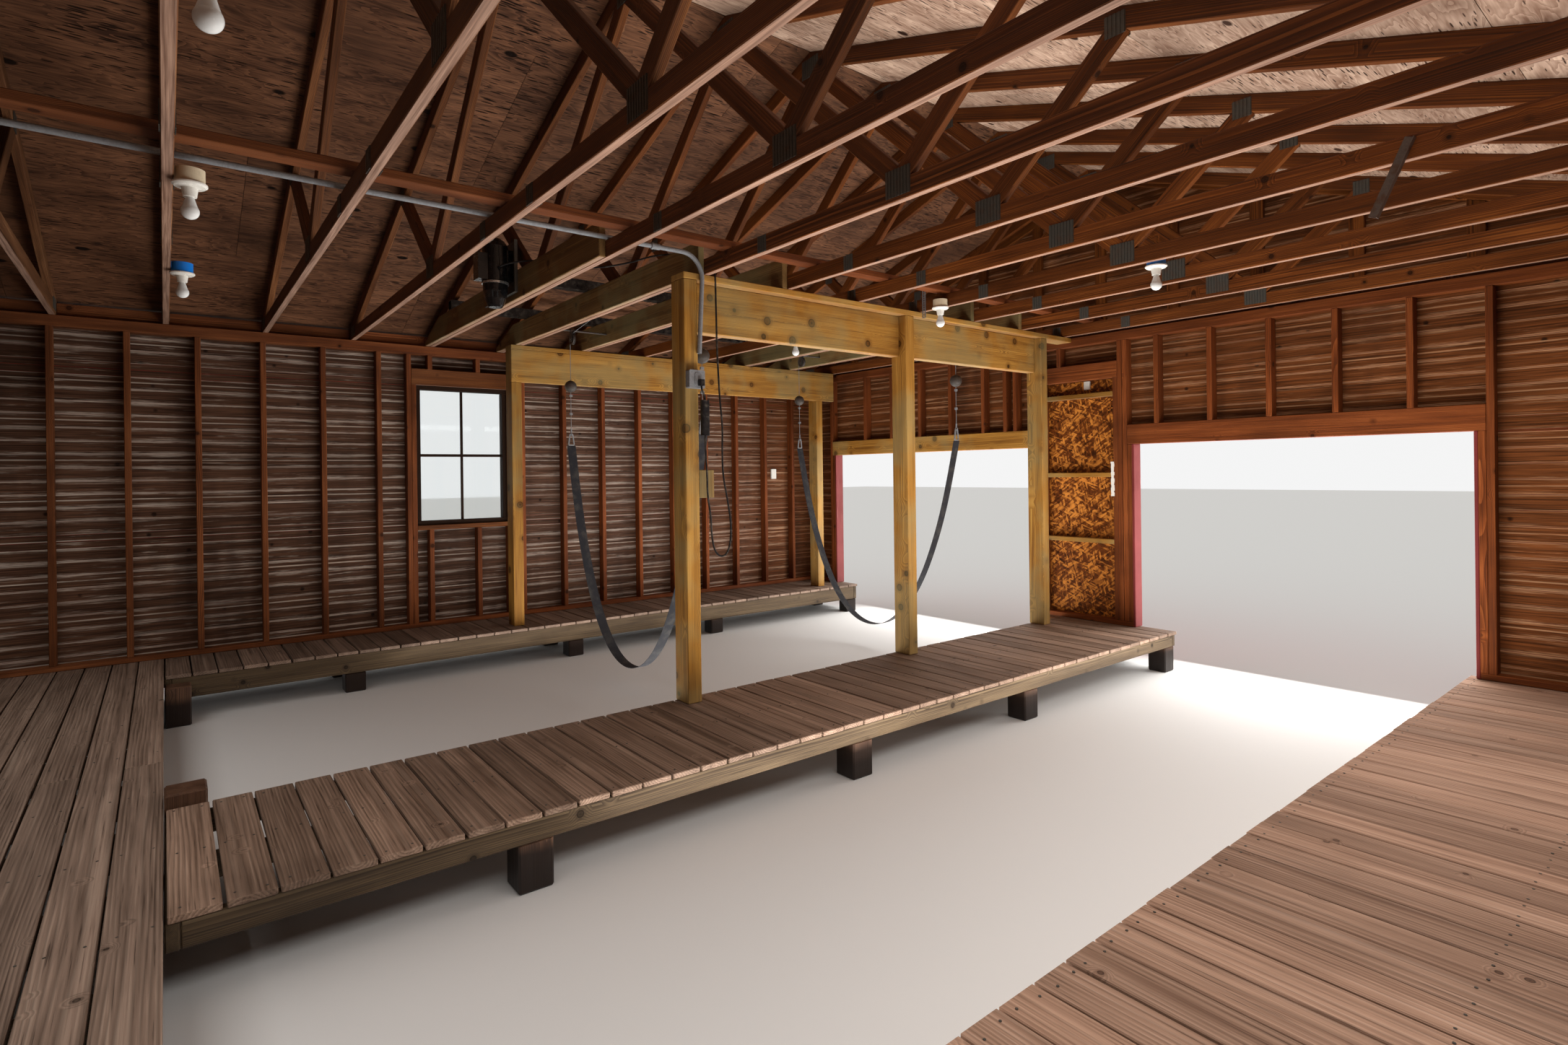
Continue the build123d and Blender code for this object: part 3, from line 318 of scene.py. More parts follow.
def siding_back():
    """The unpainted back of the lap siding: brown, with a chalky line and smears along each joint, and a
    painted orange cast of lake light near the lake wall.
    """
    s = Shader("siding_back")
    grain = s.attribute("grain")
    lot = s.split(s.attribute("lot"))
    place = s.object_place()
    off_joint = s.math("ABSOLUTE", s.split(grain)[1])
    panels = s.math("DIVIDE", s.math("SUBTRACT", s.split(place)[2], PANEL_LINE), 3 * COURSE)
    off_panel = s.math("ABSOLUTE", s.math("SUBTRACT", s.math("FRACT", panels), 0.5))
    fine = s.fibre(grain, 2.5, 130.0)
    smear = s.fibre(grain, 2.6, 48.0, 4.0, 0.72)
    face = s.mix(s.ramp(fine, 0.34, 0.66), srgb(46, 30, 22), srgb(94, 65, 48))
    knot = s.cells(grain, 6.5)
    face = s.mix(s.ramp(knot, 0.13, 0.07), face, srgb(30, 17, 11))
    # Painted light: a redder cast towards the lake wall, for the lake daylight
    lake_lit = s.ramp(s.split(place)[1], -2.4, -4.1)
    face = s.mix(lake_lit, face, s.scaled(face, DEEP_LAKE_LIGHT_TINT))
    line = s.ramp(off_joint, COURSE / 2 - 0.008, COURSE / 2 - 0.0045)
    line = s.times(line, s.ramp(lot[0], 0.0, 1.0, 0.5, 1.0))
    line = s.math("MAXIMUM", line, s.ramp(off_panel, 0.48, 0.49, 0.0, 0.7))
    line = s.times(line, s.ramp(smear, 0.36, 0.45, 0.12, 0.95))
    smudge = s.ramp(off_joint, COURSE / 2 - 0.026, COURSE / 2 - 0.004)
    smudge = s.times(smudge, s.ramp(smear, 0.5, 0.62, 0.0, 0.8))
    streak = s.ramp(smear, 0.6, 0.7, 0.0, 0.5)
    pale = s.math("MAXIMUM", s.math("MAXIMUM", line, smudge), streak)
    pale = s.times(pale, s.ramp(s.noise(place, 0.9, 2.0), 0.36, 0.6, 0.5, 1.0))
    # Painted light: the pale marks turn orange towards the lake wall
    face = s.mix(pale, face, s.mix(lake_lit, srgb(196, 180, 164), srgb(176, 132, 96)))
    toned = s.by_lot(face, 0.86, 1.1)
    # Dark upright blotches, scattered at random over the wall
    upright_blotch = s.noise(s.scaled(place, (2.2, 2.2, 0.5)), 1.0, 3.0, 0.65)
    toned = s.mix(s.ramp(upright_blotch, 0.52, 0.72, 0.0, 0.55), toned, srgb(30, 19, 14))
    s.bump(fine, 0.6)
    return s.finish(toned, 0.85)


def paint(name, colour, worn, lap=0.0):
    """Barn paint on wood, chalky, with a little grain and wear, and painted shadow along the edges of each
    lap.
    """
    s = Shader(name)
    grain = s.attribute("grain")
    fine = s.fibre(grain, 2.0, 120.0)
    patch = s.noise(s.object_place(), 2.4, 4.0, 0.6)
    face = s.mix(s.ramp(patch, 0.3, 0.7), colour, faded(colour, 0.7))
    chips = s.times(s.ramp(fine, 0.62, 0.7), s.ramp(patch, 0.5, 0.62), clamp=True)
    face = s.mix(chips, face, worn)
    if lap:
        off_middle = s.math("ABSOLUTE", s.split(grain)[1])
        # Painted shade: the edges of each course darkened, for the shadow line at each lap
        face = s.mix(s.ramp(off_middle, lap / 2 - 0.009, lap / 2 - 0.003, 0.0, 0.8), face, faded(colour, 0.3))
        face = s.by_lot(face, 0.86, 1.08)
    s.bump(fine, 0.35)
    return s.finish(face, s.ramp(patch, 0.3, 0.7, 0.5, 0.75))


def plywood(name, low, high, mark):
    """Underside of the roof boards: wavy rotary-cut figure with many short dark splits and a few knots."""
    s = Shader(name)
    grain = s.attribute("grain")
    place = s.object_place()
    wave = s.fibre(grain, 1.6, 9.0, twist=0.6)
    fine = s.fibre(grain, 6.0, 110.0)
    bands = s.math("FRACT", s.times(wave, 11.0))
    figure = s.add(s.add(s.times(wave, 0.8), s.times(fine, 0.45)), s.times(bands, 0.3))
    face = s.mix(s.ramp(figure, 0.52, 1.04), low, high)
    gather = s.noise(place, 1.6, 2.0)
    split = s.cells(s.scaled(grain, (8.0, 66.0, 66.0)), 1.0)
    split = s.add(split, s.times(gather, 0.5))
    face = s.mix(s.ramp(split, 0.5, 0.44, 0.0, 0.95), face, mark)
    knot = s.cells(s.scaled(grain, (2.6, 4.6, 4.6)), 1.0)
    face = s.mix(s.ramp(knot, 0.11, 0.08), face, mark)
    stain = s.ramp(gather, 0.5, 0.72, 0.0, 0.5)
    face = s.mix(stain, face, faded(low, 0.6))
    s.bump(fine, 0.35)
    return s.finish(s.by_lot(face, 0.84, 1.1), 0.8)


def strand_board():
    """Oriented strand board: flakes lying at three angles, each of its own tone."""
    s = Shader("strand_board")
    place = s.object_place()
    layers = []
    for index, angle in enumerate((0.35, 1.35, -0.65)):
        turned = s.node("ShaderNodeMapping")
        s.put(turned.inputs["Vector"], place)
        turned.inputs["Location"].default_value = (index * 3.7, 0.0, index * 1.9)
        turned.inputs["Rotation"].default_value = (0.0, angle, 0.0)
        flake = s.scaled(turned.outputs[0], (13.0, 1.0, 74.0))
        layers.append(s.split(s.cells(flake, 1.0, "Color"))[index])
    top = s.math("MAXIMUM", layers[0], layers[1])
    tone = s.add(s.times(top, 0.7), s.times(layers[2], 0.4))
    face = s.mix(s.ramp(tone, 0.2, 0.66), srgb(46, 19, 4), srgb(102, 50, 13))
    face = s.mix(s.ramp(tone, 0.66, 0.94), face, srgb(196, 124, 50))
    s.bump(tone, 0.6)
    return s.finish(face, 0.7)


def shingle_grit():
    """Asphalt shingles: mineral grit, each tab of its own tone."""
    s = Shader("shingle_grit")
    place = s.object_place()
    speck = s.noise(place, 420.0, 2.0)
    patch = s.noise(place, 3.0, 3.0)
    face = s.mix(s.ramp(speck, 0.38, 0.62), srgb(52, 48, 45), srgb(118, 112, 104))
    face = s.mix(s.ramp(patch, 0.45, 0.7, 0.0, 0.35), face, srgb(66, 60, 50))
    s.bump(speck, 0.6, 0.0012)
    return s.finish(s.by_lot(face, 0.7, 1.25), 0.92)


def metal(name, colour, rough, spots=0.0, shine=0.9):
    """Bare or galvanised steel with spangle and dull patches."""
    s = Shader(name)
    place = s.object_place()
    spangle = s.split(s.cells(place, 160.0, "Color"))[0]
    dull = s.noise(place, 22.0, 3.0)
    face = s.mix(s.ramp(spangle, 0.0, 1.0, 0.0, 0.35), colour, faded(colour, 0.55))
    face = s.mix(s.ramp(dull, 0.5, 0.7, 0.0, spots), face, srgb(92, 58, 36))
    s.bump(dull, 0.15, 0.0006)
    return s.finish(face, s.ramp(dull, 0.3, 0.7, rough - 0.08, rough + 0.15), shine)


def enamel(name, colour, rough, dust=0.3):
    """Painted or moulded surface with dust and small unevenness."""
    s = Shader(name)
    place = s.object_place()
    film = s.noise(place, 30.0, 4.0, 0.65)
    face = s.mix(s.ramp(film, 0.5, 0.75, 0.0, dust), colour, srgb(128, 118, 104))
    s.bump(s.noise(place, 260.0, 1.0), 0.12, 0.0004)
    return s.finish(face, s.ramp(film, 0.35, 0.7, rough - 0.06, rough + 0.2))


def glass(name, rough):
    """Clear glass with a light film."""
    s = Shader(name)
    film = s.noise(s.object_place(), 6.0, 3.0)
    s.base.inputs["Transmission Weight"].default_value = 1.0
    s.base.inputs["IOR"].default_value = 1.45
    return s.finish(srgb(244, 248, 248), s.ramp(film, 0.4, 0.7, rough, rough + 0.03))


def webbing():
    """Black lifting strap: a coarse weave with a lighter, worn middle."""
    s = Shader("webbing")
    along, across = s.split(s.attribute("grain"))[:2]
    weave = s.math("SINE", s.times(along, 2 * math.pi / 0.0042))
    rib = s.math("SINE", s.times(across, 2 * math.pi / 0.0034))
    cloth = s.times(weave, rib)
    wear = s.noise(s.object_place(), 14.0, 4.0, 0.65)
    face = s.mix(s.ramp(cloth, -1.0, 1.0), srgb(20, 20, 22), srgb(54, 54, 58))
    face = s.mix(s.ramp(wear, 0.5, 0.74, 0.0, 0.4), face, srgb(96, 90, 80))
    s.bump(cloth, 0.7, 0.0006)
    return s.finish(face, 0.85)


# OLD, PINE and JOIST get painted light from the water on their undersides; OLD and STUDS get a painted orange
# cast of lake light
OLD = wood("old_lumber", srgb(50, 29, 17), srgb(104, 67, 42), srgb(152, 112, 76), knots=0.075, painted_lake_light=0.8,
           painted_underlight=0.6)
STUDS = wood("stud_lumber", srgb(66, 34, 17), srgb(116, 66, 36), srgb(154, 102, 64), stain=0.5, painted_lake_light=0.5,
             waterline=0.335)
PINE = wood("new_pine", srgb(100, 62, 20), srgb(154, 108, 44), srgb(182, 142, 72), knots=0.15, stain=0.2,
            cracks=0.3, painted_underlight=0.2, green=0.28)
JOIST = wood("joist_pine", srgb(72, 50, 26), srgb(112, 84, 48), srgb(148, 118, 76), knots=0.1, stain=0.25,
             painted_underlight=0.5, green=0.3)
DECKING = {"depth": 0.8, "cracks": 0.7, "knots": 0.06, "rings": 0.011}
GREY_DECK = wood("grey_deck", srgb(86, 69, 57), srgb(138, 115, 99), srgb(168, 147, 128), stain=0.2, lines=0.5,
                 **DECKING)
PIER_DECK = wood("pier_deck", srgb(90, 70, 56), srgb(148, 121, 102), srgb(178, 152, 131), stain=0.3,
                 lines=0.5, **DECKING)
RED_DECK = wood("red_deck", srgb(116, 86, 68), srgb(168, 134, 111), srgb(194, 163, 142), stain=0.18,
                lines=0.45, **DECKING)
RIM = wood("rim_lumber", srgb(48, 37, 26), srgb(86, 70, 51), srgb(114, 97, 74), stain=0.3, cracks=0.4)
WET = wood("wet_wood", srgb(50, 33, 24), srgb(88, 62, 46), srgb(120, 90, 68), stain=0.4, rough=0.5,
           waterline=0.2)
DARK_FRAME = wood("window_wood", srgb(24, 15, 10), srgb(48, 30, 20), srgb(70, 46, 30), knots=0.0, stain=0.2)
BACKS = siding_back()
RED = paint("red_siding", srgb(166, 52, 44), srgb(120, 88, 70), lap=COURSE)
TRIM = paint("trim_paint", srgb(110, 43, 41), srgb(172, 118, 112))
# Painted shade and light: one plywood as a dark copy for the shaded slope and a pale copy for the lit slope
SHADED_PLY = plywood("shaded_plywood", srgb(52, 32, 22), srgb(116, 78, 54), srgb(16, 9, 6))
LIT_PLY = plywood("lit_plywood", srgb(118, 88, 70), srgb(190, 162, 140), srgb(40, 23, 16))
STRANDS = strand_board()
GRIT = shingle_grit()
GALVANISED = metal("galvanised", srgb(142, 144, 146), 0.5, 0.15, shine=0.4)
DARK_STEEL = metal("dark_steel", srgb(104, 100, 96), 0.35, 0.3, shine=0.7)
CHROME = metal("bright_steel", srgb(214, 214, 210), 0.22)
PLATE_STEEL = metal("plate_steel", srgb(78, 76, 70), 0.5, 0.3, shine=0.3)
RUSTY = metal("rusty_steel", srgb(104, 92, 84), 0.6, 0.9, shine=0.4)
BLACK = enamel("black_steel", srgb(20, 20, 21), 0.3)
GLOSS = enamel("motor_black", srgb(12, 12, 13), 0.14, 0.04)
RUBBER = enamel("black_plastic", srgb(20, 20, 21), 0.5)
BLUE = enamel("blue_plastic", srgb(18, 112, 198), 0.4, 0.1)
TAN = enamel("tan_plastic", srgb(196, 180, 152), 0.5, 0.3)
WHITE = enamel("porcelain", srgb(214, 210, 200), 0.22, 0.15)
FROST = enamel("bulb_glass", srgb(210, 210, 206), 0.12, 0.06)
PANE = glass("window_glass", 0.02)
STRAP = webbing()


# Mesh helpers

def extent(group):
    """Lowest and highest corner of a list of vertices."""
    low = Vector(min(v.co[i] for v in group) for i in range(3))
    high = Vector(max(v.co[i] for v in group) for i in range(3))
    return low, high


def solids(node):
    """(lowest corner, highest corner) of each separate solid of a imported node."""
    bm = plain_copy(node)
    found = [extent(group) for group in groups(bm)]
    bm.free()
    return found


def chosen_solids(node, wanted):
    """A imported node's surfaces, with only the solids whose extent is wanted."""
    bm = plain_copy(node)
    for group in groups(bm):
        if not wanted(*extent(group)):
            bmesh.ops.delete(bm, geom=group, context="VERTS")
    return bm


def plain_copy(node):
    """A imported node's surfaces as one mesh of whole faces, joined at their corners."""
    bm = bmesh.new()
    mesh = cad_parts[node].data
    corners = [bm.verts.new(v.co) for v in mesh.vertices]
    for face in mesh.polygons:
        bm.faces.new([corners[i] for i in face.vertices])
    bmesh.ops.remove_doubles(bm, verts=bm.verts, dist=1e-5)
    bmesh.ops.dissolve_limit(bm, angle_limit=math.radians(1), verts=bm.verts, edges=bm.edges)
    return bm


def groups(bm):
    """Lists of vertices, one for each loose part."""
    seen = set()
    found = []
    for start in bm.verts:
        if start in seen:
            continue
        seen.add(start)
        group = [start]
        for vert in group:
            for edge in vert.link_edges:
                other = edge.other_vert(vert)
                if other not in seen:
                    seen.add(other)
                    group.append(other)
        found.append(group)
    return found


def board(bm, low, high):
    """A plain board between two corners."""
    corners = []
    for z in (low[2], high[2]):
        for x, y in ((low[0], low[1]), (high[0], low[1]), (high[0], high[1]), (low[0], high[1])):
            corners.append(bm.verts.new((x, y, z)))
    for face in ((3, 2, 1, 0), (4, 5, 6, 7), (0, 1, 5, 4), (1, 2, 6, 5), (2, 3, 7, 6), (3, 0, 4, 7)):
        bm.faces.new([corners[i] for i in face])
    return corners


def sweep(bm, rings):
    """Faces between rings of corners, closed at both ends."""
    for before, after in zip(rings, rings[1:]):
        for k in range(len(before)):
            j = (k + 1) % len(before)
            bm.faces.new([before[k], before[j], after[j], after[k]])
    bm.faces.new(rings[0][::-1])
    bm.faces.new(rings[-1])


def add_grain(bm, way=None):
    """Give each loose part its own grain, along its longest edge or a given way, and a random lot."""
    grain = bm.verts.layers.float_vector.new("grain")
    lot = bm.verts.layers.float_color.new("lot")
    for group in groups(bm):
        # Kept in order, so that of equal edges or faces the same one is taken in each run
        edges = dict.fromkeys(edge for vert in group for edge in vert.link_edges)
        faces = dict.fromkeys(face for vert in group for face in vert.link_faces)
        longest = max(edges, key=lambda edge: edge.calc_length())
        along = way or (longest.verts[1].co - longest.verts[0].co).normalized()
        flat = [face for face in faces if abs(face.normal.dot(along)) < 0.3]
        thick = max(flat or faces, key=lambda face: face.calc_area()).normal.copy()
        thick = (thick - thick.dot(along) * along).normalized()
        across = thick.cross(along)
        if across.z + 0.1 * across.x + 0.01 * across.y < 0:
            across = -across
        middle = sum((vert.co for vert in group), Vector()) / len(group)
        start = RANDOM.uniform(0, 60)
        colour = (RANDOM.random(), RANDOM.random(), RANDOM.random(), 1.0)
        for vert in group:
            off = vert.co - middle
            vert[grain] = (off.dot(along) + start, off.dot(across), off.dot(thick))
            vert[lot] = colour


def mesh_object(name, bm, materials):
    """A new object in the scene, from a finished mesh."""
    mesh = bpy.data.meshes.new(name)
    bm.to_mesh(mesh)
    bm.free()
    for material in materials:
        mesh.materials.append(material)
    return link(bpy.data.objects.new(name, mesh))


def add_piece(name, bm, materials, slot, nodes=(), ease=0.0, way=None):
    """Finish a mesh as a piece of the boathouse, with eased edges and its grain."""
    bmesh.ops.recalc_face_normals(bm, faces=bm.faces)
    if ease:
        bmesh.ops.bevel(bm, geom=bm.edges, offset=ease, segments=1, affect="EDGES", clamp_overlap=True)
    bm.normal_update()
    add_grain(bm, way)
    piece = mesh_object(name, bm, materials)
    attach(piece, "root")
    if nodes:
        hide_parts(*nodes)
    return piece


def dress(node, material, slot, ease=EASE):
    """A packed timber node with eased edges and grain."""
    return add_piece(node + "_timber", plain_copy(node), [material], slot, [node], ease)


def dress_apart(node, wanted, picked, rest):
    """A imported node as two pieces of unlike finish: each is (name, material, slot, ease)."""
    for (name, material, slot, ease), keep in ((picked, True), (rest, False)):
        bm = chosen_solids(node, lambda low, high, keep=keep: wanted(low, high) == keep)
        add_piece(name, bm, [material], slot, [node], ease)


def repaint(node, material):
    """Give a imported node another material."""
    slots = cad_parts[node].data.materials
    slots.clear()
    slots.append(material)


# Decks

LONGEST_BOARD = 5.0
END_JOINTS = (0.64, 0.32)
JOIST_SPACING = 0.61
NAIL_INSET = 0.045
NAIL_PLACES = (0.2, 0.76)
NAIL_SINK = 0.0015
NAIL_HEAD = {"segments": 7, "radius1": 0.0045, "radius2": 0.004, "depth": 0.004}


def board_rows(low, high):
    """How many boards a deck has, and their pitch."""
    count = round((high.y - low.y) / BOARD_PITCH)
    return count, (high.y - low.y) / count


def deck_boards(name, node, material, gap):
    """Boards across a deck, along X, a little uneven in length, width and level."""
    low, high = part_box(node)
    count, pitch = board_rows(low, high)
    bm = bmesh.new()
    long_deck = high.x - low.x > LONGEST_BOARD
    for i in range(count):
        y0 = low.y + pitch * i + RANDOM.uniform(0, 0.003)
        y1 = low.y + pitch * (i + 1) - gap + RANDOM.uniform(-0.002, 0.001)
        top = high.z - RANDOM.uniform(0.0, 0.002)
        ends = [low.x, high.x]
        if long_deck:
            ends.insert(1, low.x + END_JOINTS[i % 2] * (high.x - low.x))
        for x0, x1 in zip(ends, ends[1:]):
            left = x0 + RANDOM.uniform(0.001, 0.006)
            right = x1 - RANDOM.uniform(0.001, 0.006)
            corners = board(bm, (left, y0, low.z), (right, y1, top))
            for corner in corners:
                corner.co.y += RANDOM.uniform(-0.0012, 0.0012)
    add_piece(name, bm, [material], "deck_wood", [node], EASE)


def deck_nails():
    """Two nail heads where each board crosses a joist or rim."""
    bm = bmesh.new()
    for node in ("back_deck", "window_walkway", "finger_pier", "right_deck"):
        low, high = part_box(node)
        count, pitch = board_rows(low, high)
        rows = max(2, round((high.x - low.x) / JOIST_SPACING) + 1)
        for i in range(count):
            for j in range(rows):
                x = low.x + NAIL_INSET + (high.x - low.x - 2 * NAIL_INSET) * j / (rows - 1)
                for share in NAIL_PLACES:
                    y = low.y + pitch * (i + share) + RANDOM.uniform(-0.006, 0.006)
                    place = Matrix.Translation((x + RANDOM.uniform(-0.008, 0.008), y, high.z - NAIL_SINK))
                    bmesh.ops.create_cone(bm, cap_ends=True, matrix=place, **NAIL_HEAD)
    add_piece("deck_nails", bm, [PLATE_STEEL], "galvanised")


# Siding

GROOVE = 0.004
BACK_LIP = 0.0014
LAP_BUTT = 0.020
LAP_TAPER = 0.010
THINNEST_COURSE = 0.004
THINNEST_SLIVER = 0.006
SHORTEST_LAP = 0.01
ROOF_GAP = 0.004
TOP_GAP = 0.02


def lap_section(z0, low, high):
    """Section of the course that starts at z0, between two levels, as (outward, height) points."""
    def face(z):
        return LAP_BUTT - LAP_TAPER * (z - z0) / COURSE

    front = [(GROOVE, low), (face(low), low), (face(high), high), (GROOVE, high)]
    return front + [(0.0, high - BACK_LIP), (0.0, low + BACK_LIP)]


def free_runs(start, stop, holes, height):
    """Stretches of a wall beside its holes at a height."""
    edges = [start, stop]
    for s0, s1, h0, h1 in sorted(holes):
        if h0 < height < h1:
            edges[-1:-1] = [s0, s1]
    return [(s0, s1) for s0, s1 in zip(edges[::2], edges[1::2]) if s1 - s0 >= SHORTEST_LAP]


def siding_wall(name, nodes, span, levels, holes, place, ends=None):
    """A wall's lap siding, red outside: place(along, outward, height) gives each corner's position."""
    bm = bmesh.new()
    bottom, top = levels
    z0 = COURSE_LINE - COURSE * math.ceil((COURSE_LINE - bottom) / COURSE)
    while z0 < top - THINNEST_COURSE:
        first = max(z0, bottom)
        last = min(z0 + COURSE, top)
        cuts = {first, last}
        for hole in holes:
            cuts.update(z for z in hole[2:] if first + THINNEST_SLIVER < z < last - THINNEST_SLIVER)
        order = sorted(cuts)
        for low, high in zip(order, order[1:]):
            for run in free_runs(*span, holes, (low + high) / 2):
                rings = []
                for s in run:
                    ring = []
                    for out, z in lap_section(z0, low, high):
                        limit = ends(z) if ends else math.inf
                        ring.append(bm.verts.new(place(max(-limit, min(limit, s)), out, z)))
                    rings.append(ring)
                sweep(bm, rings)
        z0 += COURSE
    piece = add_piece(name, bm, [BACKS, RED], "red_siding", nodes)
    outward = Vector(place(0, 1, 0)) - Vector(place(0, 0, 0))
    for face in piece.data.polygons:
        if face.normal.dot(outward) > -0.5:
            face.material_index = 1


def side_siding():
    low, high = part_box("side_wall_siding")
    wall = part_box("side_wall_studs")[1].x
    window = solids("window_frames")
    near = min(lo.y for lo, hi in window)
    far = max(hi.y for lo, hi in window)
    sill = min(lo.z for lo, hi in window)
    head = max(hi.z for lo, hi in window)
    for name, way in (("window_side_siding", 1), ("right_side_siding", -1)):
        def place(along, out, z, way=way):
            return (way * (wall + out), along, z)

        siding_wall(name, ["side_wall_siding", "window_band_siding"], (low.y, high.y), (low.z, high.z),
                    [(near, far, sill, head)], place)


def end_siding():
    low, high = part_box("end_wall_siding")
    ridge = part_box("gable_siding")[1].z
    jambs = solids("opening_jambs")
    edges = sorted(lo.x for lo, hi in jambs) + sorted(hi.x for lo, hi in jambs)
    edges.sort()
    head = max(hi.z for lo, hi in jambs)
    lake = [(edges[0], edges[3], 0.0, head), (edges[4], edges[7], 0.0, head)]
    doorway = [(*LAND_DOORWAY, 0.0, LAND_DOOR_HEAD)]
    wall = high.y - LAP_BUTT

    def roof(z):
        return (ridge - z) / SLOPE - ROOF_GAP

    for name, way, holes in (("lake_siding", -1, lake), ("back_siding", 1, doorway)):
        def place(along, out, z, way=way):
            return (along, way * (wall + out), z)

        siding_wall(name, ["end_wall_siding", "gable_siding"], (low.x, high.x), (low.z, ridge - TOP_GAP),
                    holes, place, roof)


# Roof

SHEET_WIDE = 1.22
SHEET_LONG = 2.44
SHEET_THICK = 0.012
SHEET_GAP = 0.0012
SHEET_END = 0.001
LAST_SHEETS = 0.01
TAB_LONG = 0.305
TAB_SLOT = 0.007
TAB_THICK = 0.0042
TAB_LAP = 1.35
TAB_RISE_BELOW = 0.0048
TAB_RISE_ABOVE = 0.0004
TAB_RAGGED = 0.004
TAB_END = 0.002
LAST_TABS = 0.06
SHORTEST_TAB = 0.02
CAP_THICK = 0.0036
CAP_LAP = 1.25
CAP_RISE_BELOW = -0.0005
CAP_RISE_ABOVE = -0.0045


def on_slope(x, rise, ridge):
    """Height of a point of the roof, a rise square above the slope that starts at the ridge."""
    return ridge - abs(x) * SLOPE + rise * RUN


def rows_up(low, high, step, long, last):
    """(outer edge, start) of each sheet or tab of a slope, every other row shifted by half."""
    row = 0
    outer = high.x
    while outer > last:
        start = low.y - (long / 2 if row % 2 else 0.0)
        while start < high.y:
            yield outer, start
            start += long
        outer -= step
        row += 1


def roof_panels():
    """Plywood sheets under the shingles, with staggered joints; the window side slope has painted shade, the
    right side slope painted light.
    """
    low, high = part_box("roof_sheathing")
    ridge = high.z - SHEET_THICK * RUN
    wide = SHEET_WIDE / RUN
    for name, way, material in (("window_side_panels", 1, SHADED_PLY), ("right_side_panels", -1, LIT_PLY)):
        bm = bmesh.new()
        for outer, start in rows_up(low, high, wide, SHEET_LONG, LAST_SHEETS):
            inner = max(outer - wide, SHEET_END)
            y0 = max(start, low.y) + SHEET_GAP
            y1 = min(start + SHEET_LONG, high.y) - SHEET_GAP
            for corner in board(bm, (inner + SHEET_GAP, y0, 0), (outer - SHEET_GAP, y1, 1)):
                rise = SHEET_THICK if corner.co.z > 0.5 else 0.0
                corner.co.z = on_slope(corner.co.x, rise, ridge)
                corner.co.x *= way
        add_piece(name, bm, [material], "plywood", ["roof_sheathing"], way=Vector((0, 1, 0)))
    return high.z


def roof_tabs(deck_ridge):
    """Courses of shingle tabs, each course over the top of the one below."""
    low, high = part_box("roof_shingles")
    step = SHINGLE_EXPOSURE / RUN
    bm = bmesh.new()
    for way in (-1, 1):
        for outer, start in rows_up(low, high, step, TAB_LONG, LAST_TABS):
            inner = max(outer - step * TAB_LAP, TAB_END)
            y0 = max(start, low.y)
            y1 = min(start + TAB_LONG - TAB_SLOT, high.y)
            if y1 - y0 <= SHORTEST_TAB:
                continue
            ragged = outer - RANDOM.uniform(0.0, TAB_RAGGED)
            for corner in board(bm, (inner, y0, 0), (ragged, y1, 1)):
                is_outer = corner.co.x > (inner + ragged) / 2
                rise = TAB_RISE_BELOW if is_outer else TAB_RISE_ABOVE
                rise += TAB_THICK if corner.co.z > 0.5 else 0.0
                corner.co.z = on_slope(corner.co.x, rise, deck_ridge)
                corner.co.x *= way
    add_piece("shingle_tabs", bm, [GRIT], "shingles", ["roof_shingles"])


def ridge_tabs():
    """Overlapping cap shingles along the ridge."""
    low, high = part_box("ridge_cap")
    bm = bmesh.new()
    count = round((high.y - low.y) / SHINGLE_EXPOSURE)
    pitch = (high.y - low.y) / count
    section = [(x, 0.0) for x in (low.x, 0.0, high.x)] + [(x, CAP_THICK) for x in (high.x, 0.0, low.x)]
    for i in range(count):
        y0 = low.y + pitch * i
        y1 = min(y0 + pitch * CAP_LAP, high.y)
        rings = []
        for y, rise in ((y0, CAP_RISE_BELOW), (y1, CAP_RISE_ABOVE)):
            rings.append([bm.verts.new((x, y, high.z - abs(x) * SLOPE - drop + rise)) for x, drop in section])
        sweep(bm, rings)
    add_piece("ridge_shingles", bm, [GRIT], "shingles", ["ridge_cap"])


# Truss plates

RIB_PITCH = 0.0185
RIB_HIGH = 0.004
PLATE_THICK = 0.0012
# Width and height of each plate, and how far its middle lies below its line
PEAK_PLATE = (0.15, 0.11, 0.095)
WEB_PLATE = (0.142, 0.116, 0.012)
CHORD_PLATE = (0.09, 0.09, 0.075)
HEEL_PLATE = (0.15, 0.078, 0.03)
STUD_PLATE = (0.075, 0.085, 0.045)
HEEL_INSET = 0.18
STUD_PLATE_PLACE = 0.31


def ribbed_plate(bm, x, z, y, way, wide, tall):
    """A toothed plate pressed on a truss's face, with upright ribs."""
    ribs = max(4, round(wide / RIB_PITCH))
    pitch = wide / ribs
    for i in range(ribs):
        x0 = x - wide / 2 + pitch * i
        low = (x0 + pitch * 0.2, min(y, y + way * RIB_HIGH), z - tall / 2)
        high = (x0 + pitch * 0.8, max(y, y + way * RIB_HIGH), z + tall / 2)
        board(bm, low, high)
    low = (x - wide / 2, min(y, y + way * PLATE_THICK), z - tall / 2)
    high = (x + wide / 2, max(y, y + way * PLATE_THICK), z + tall / 2)
    board(bm, low, high)


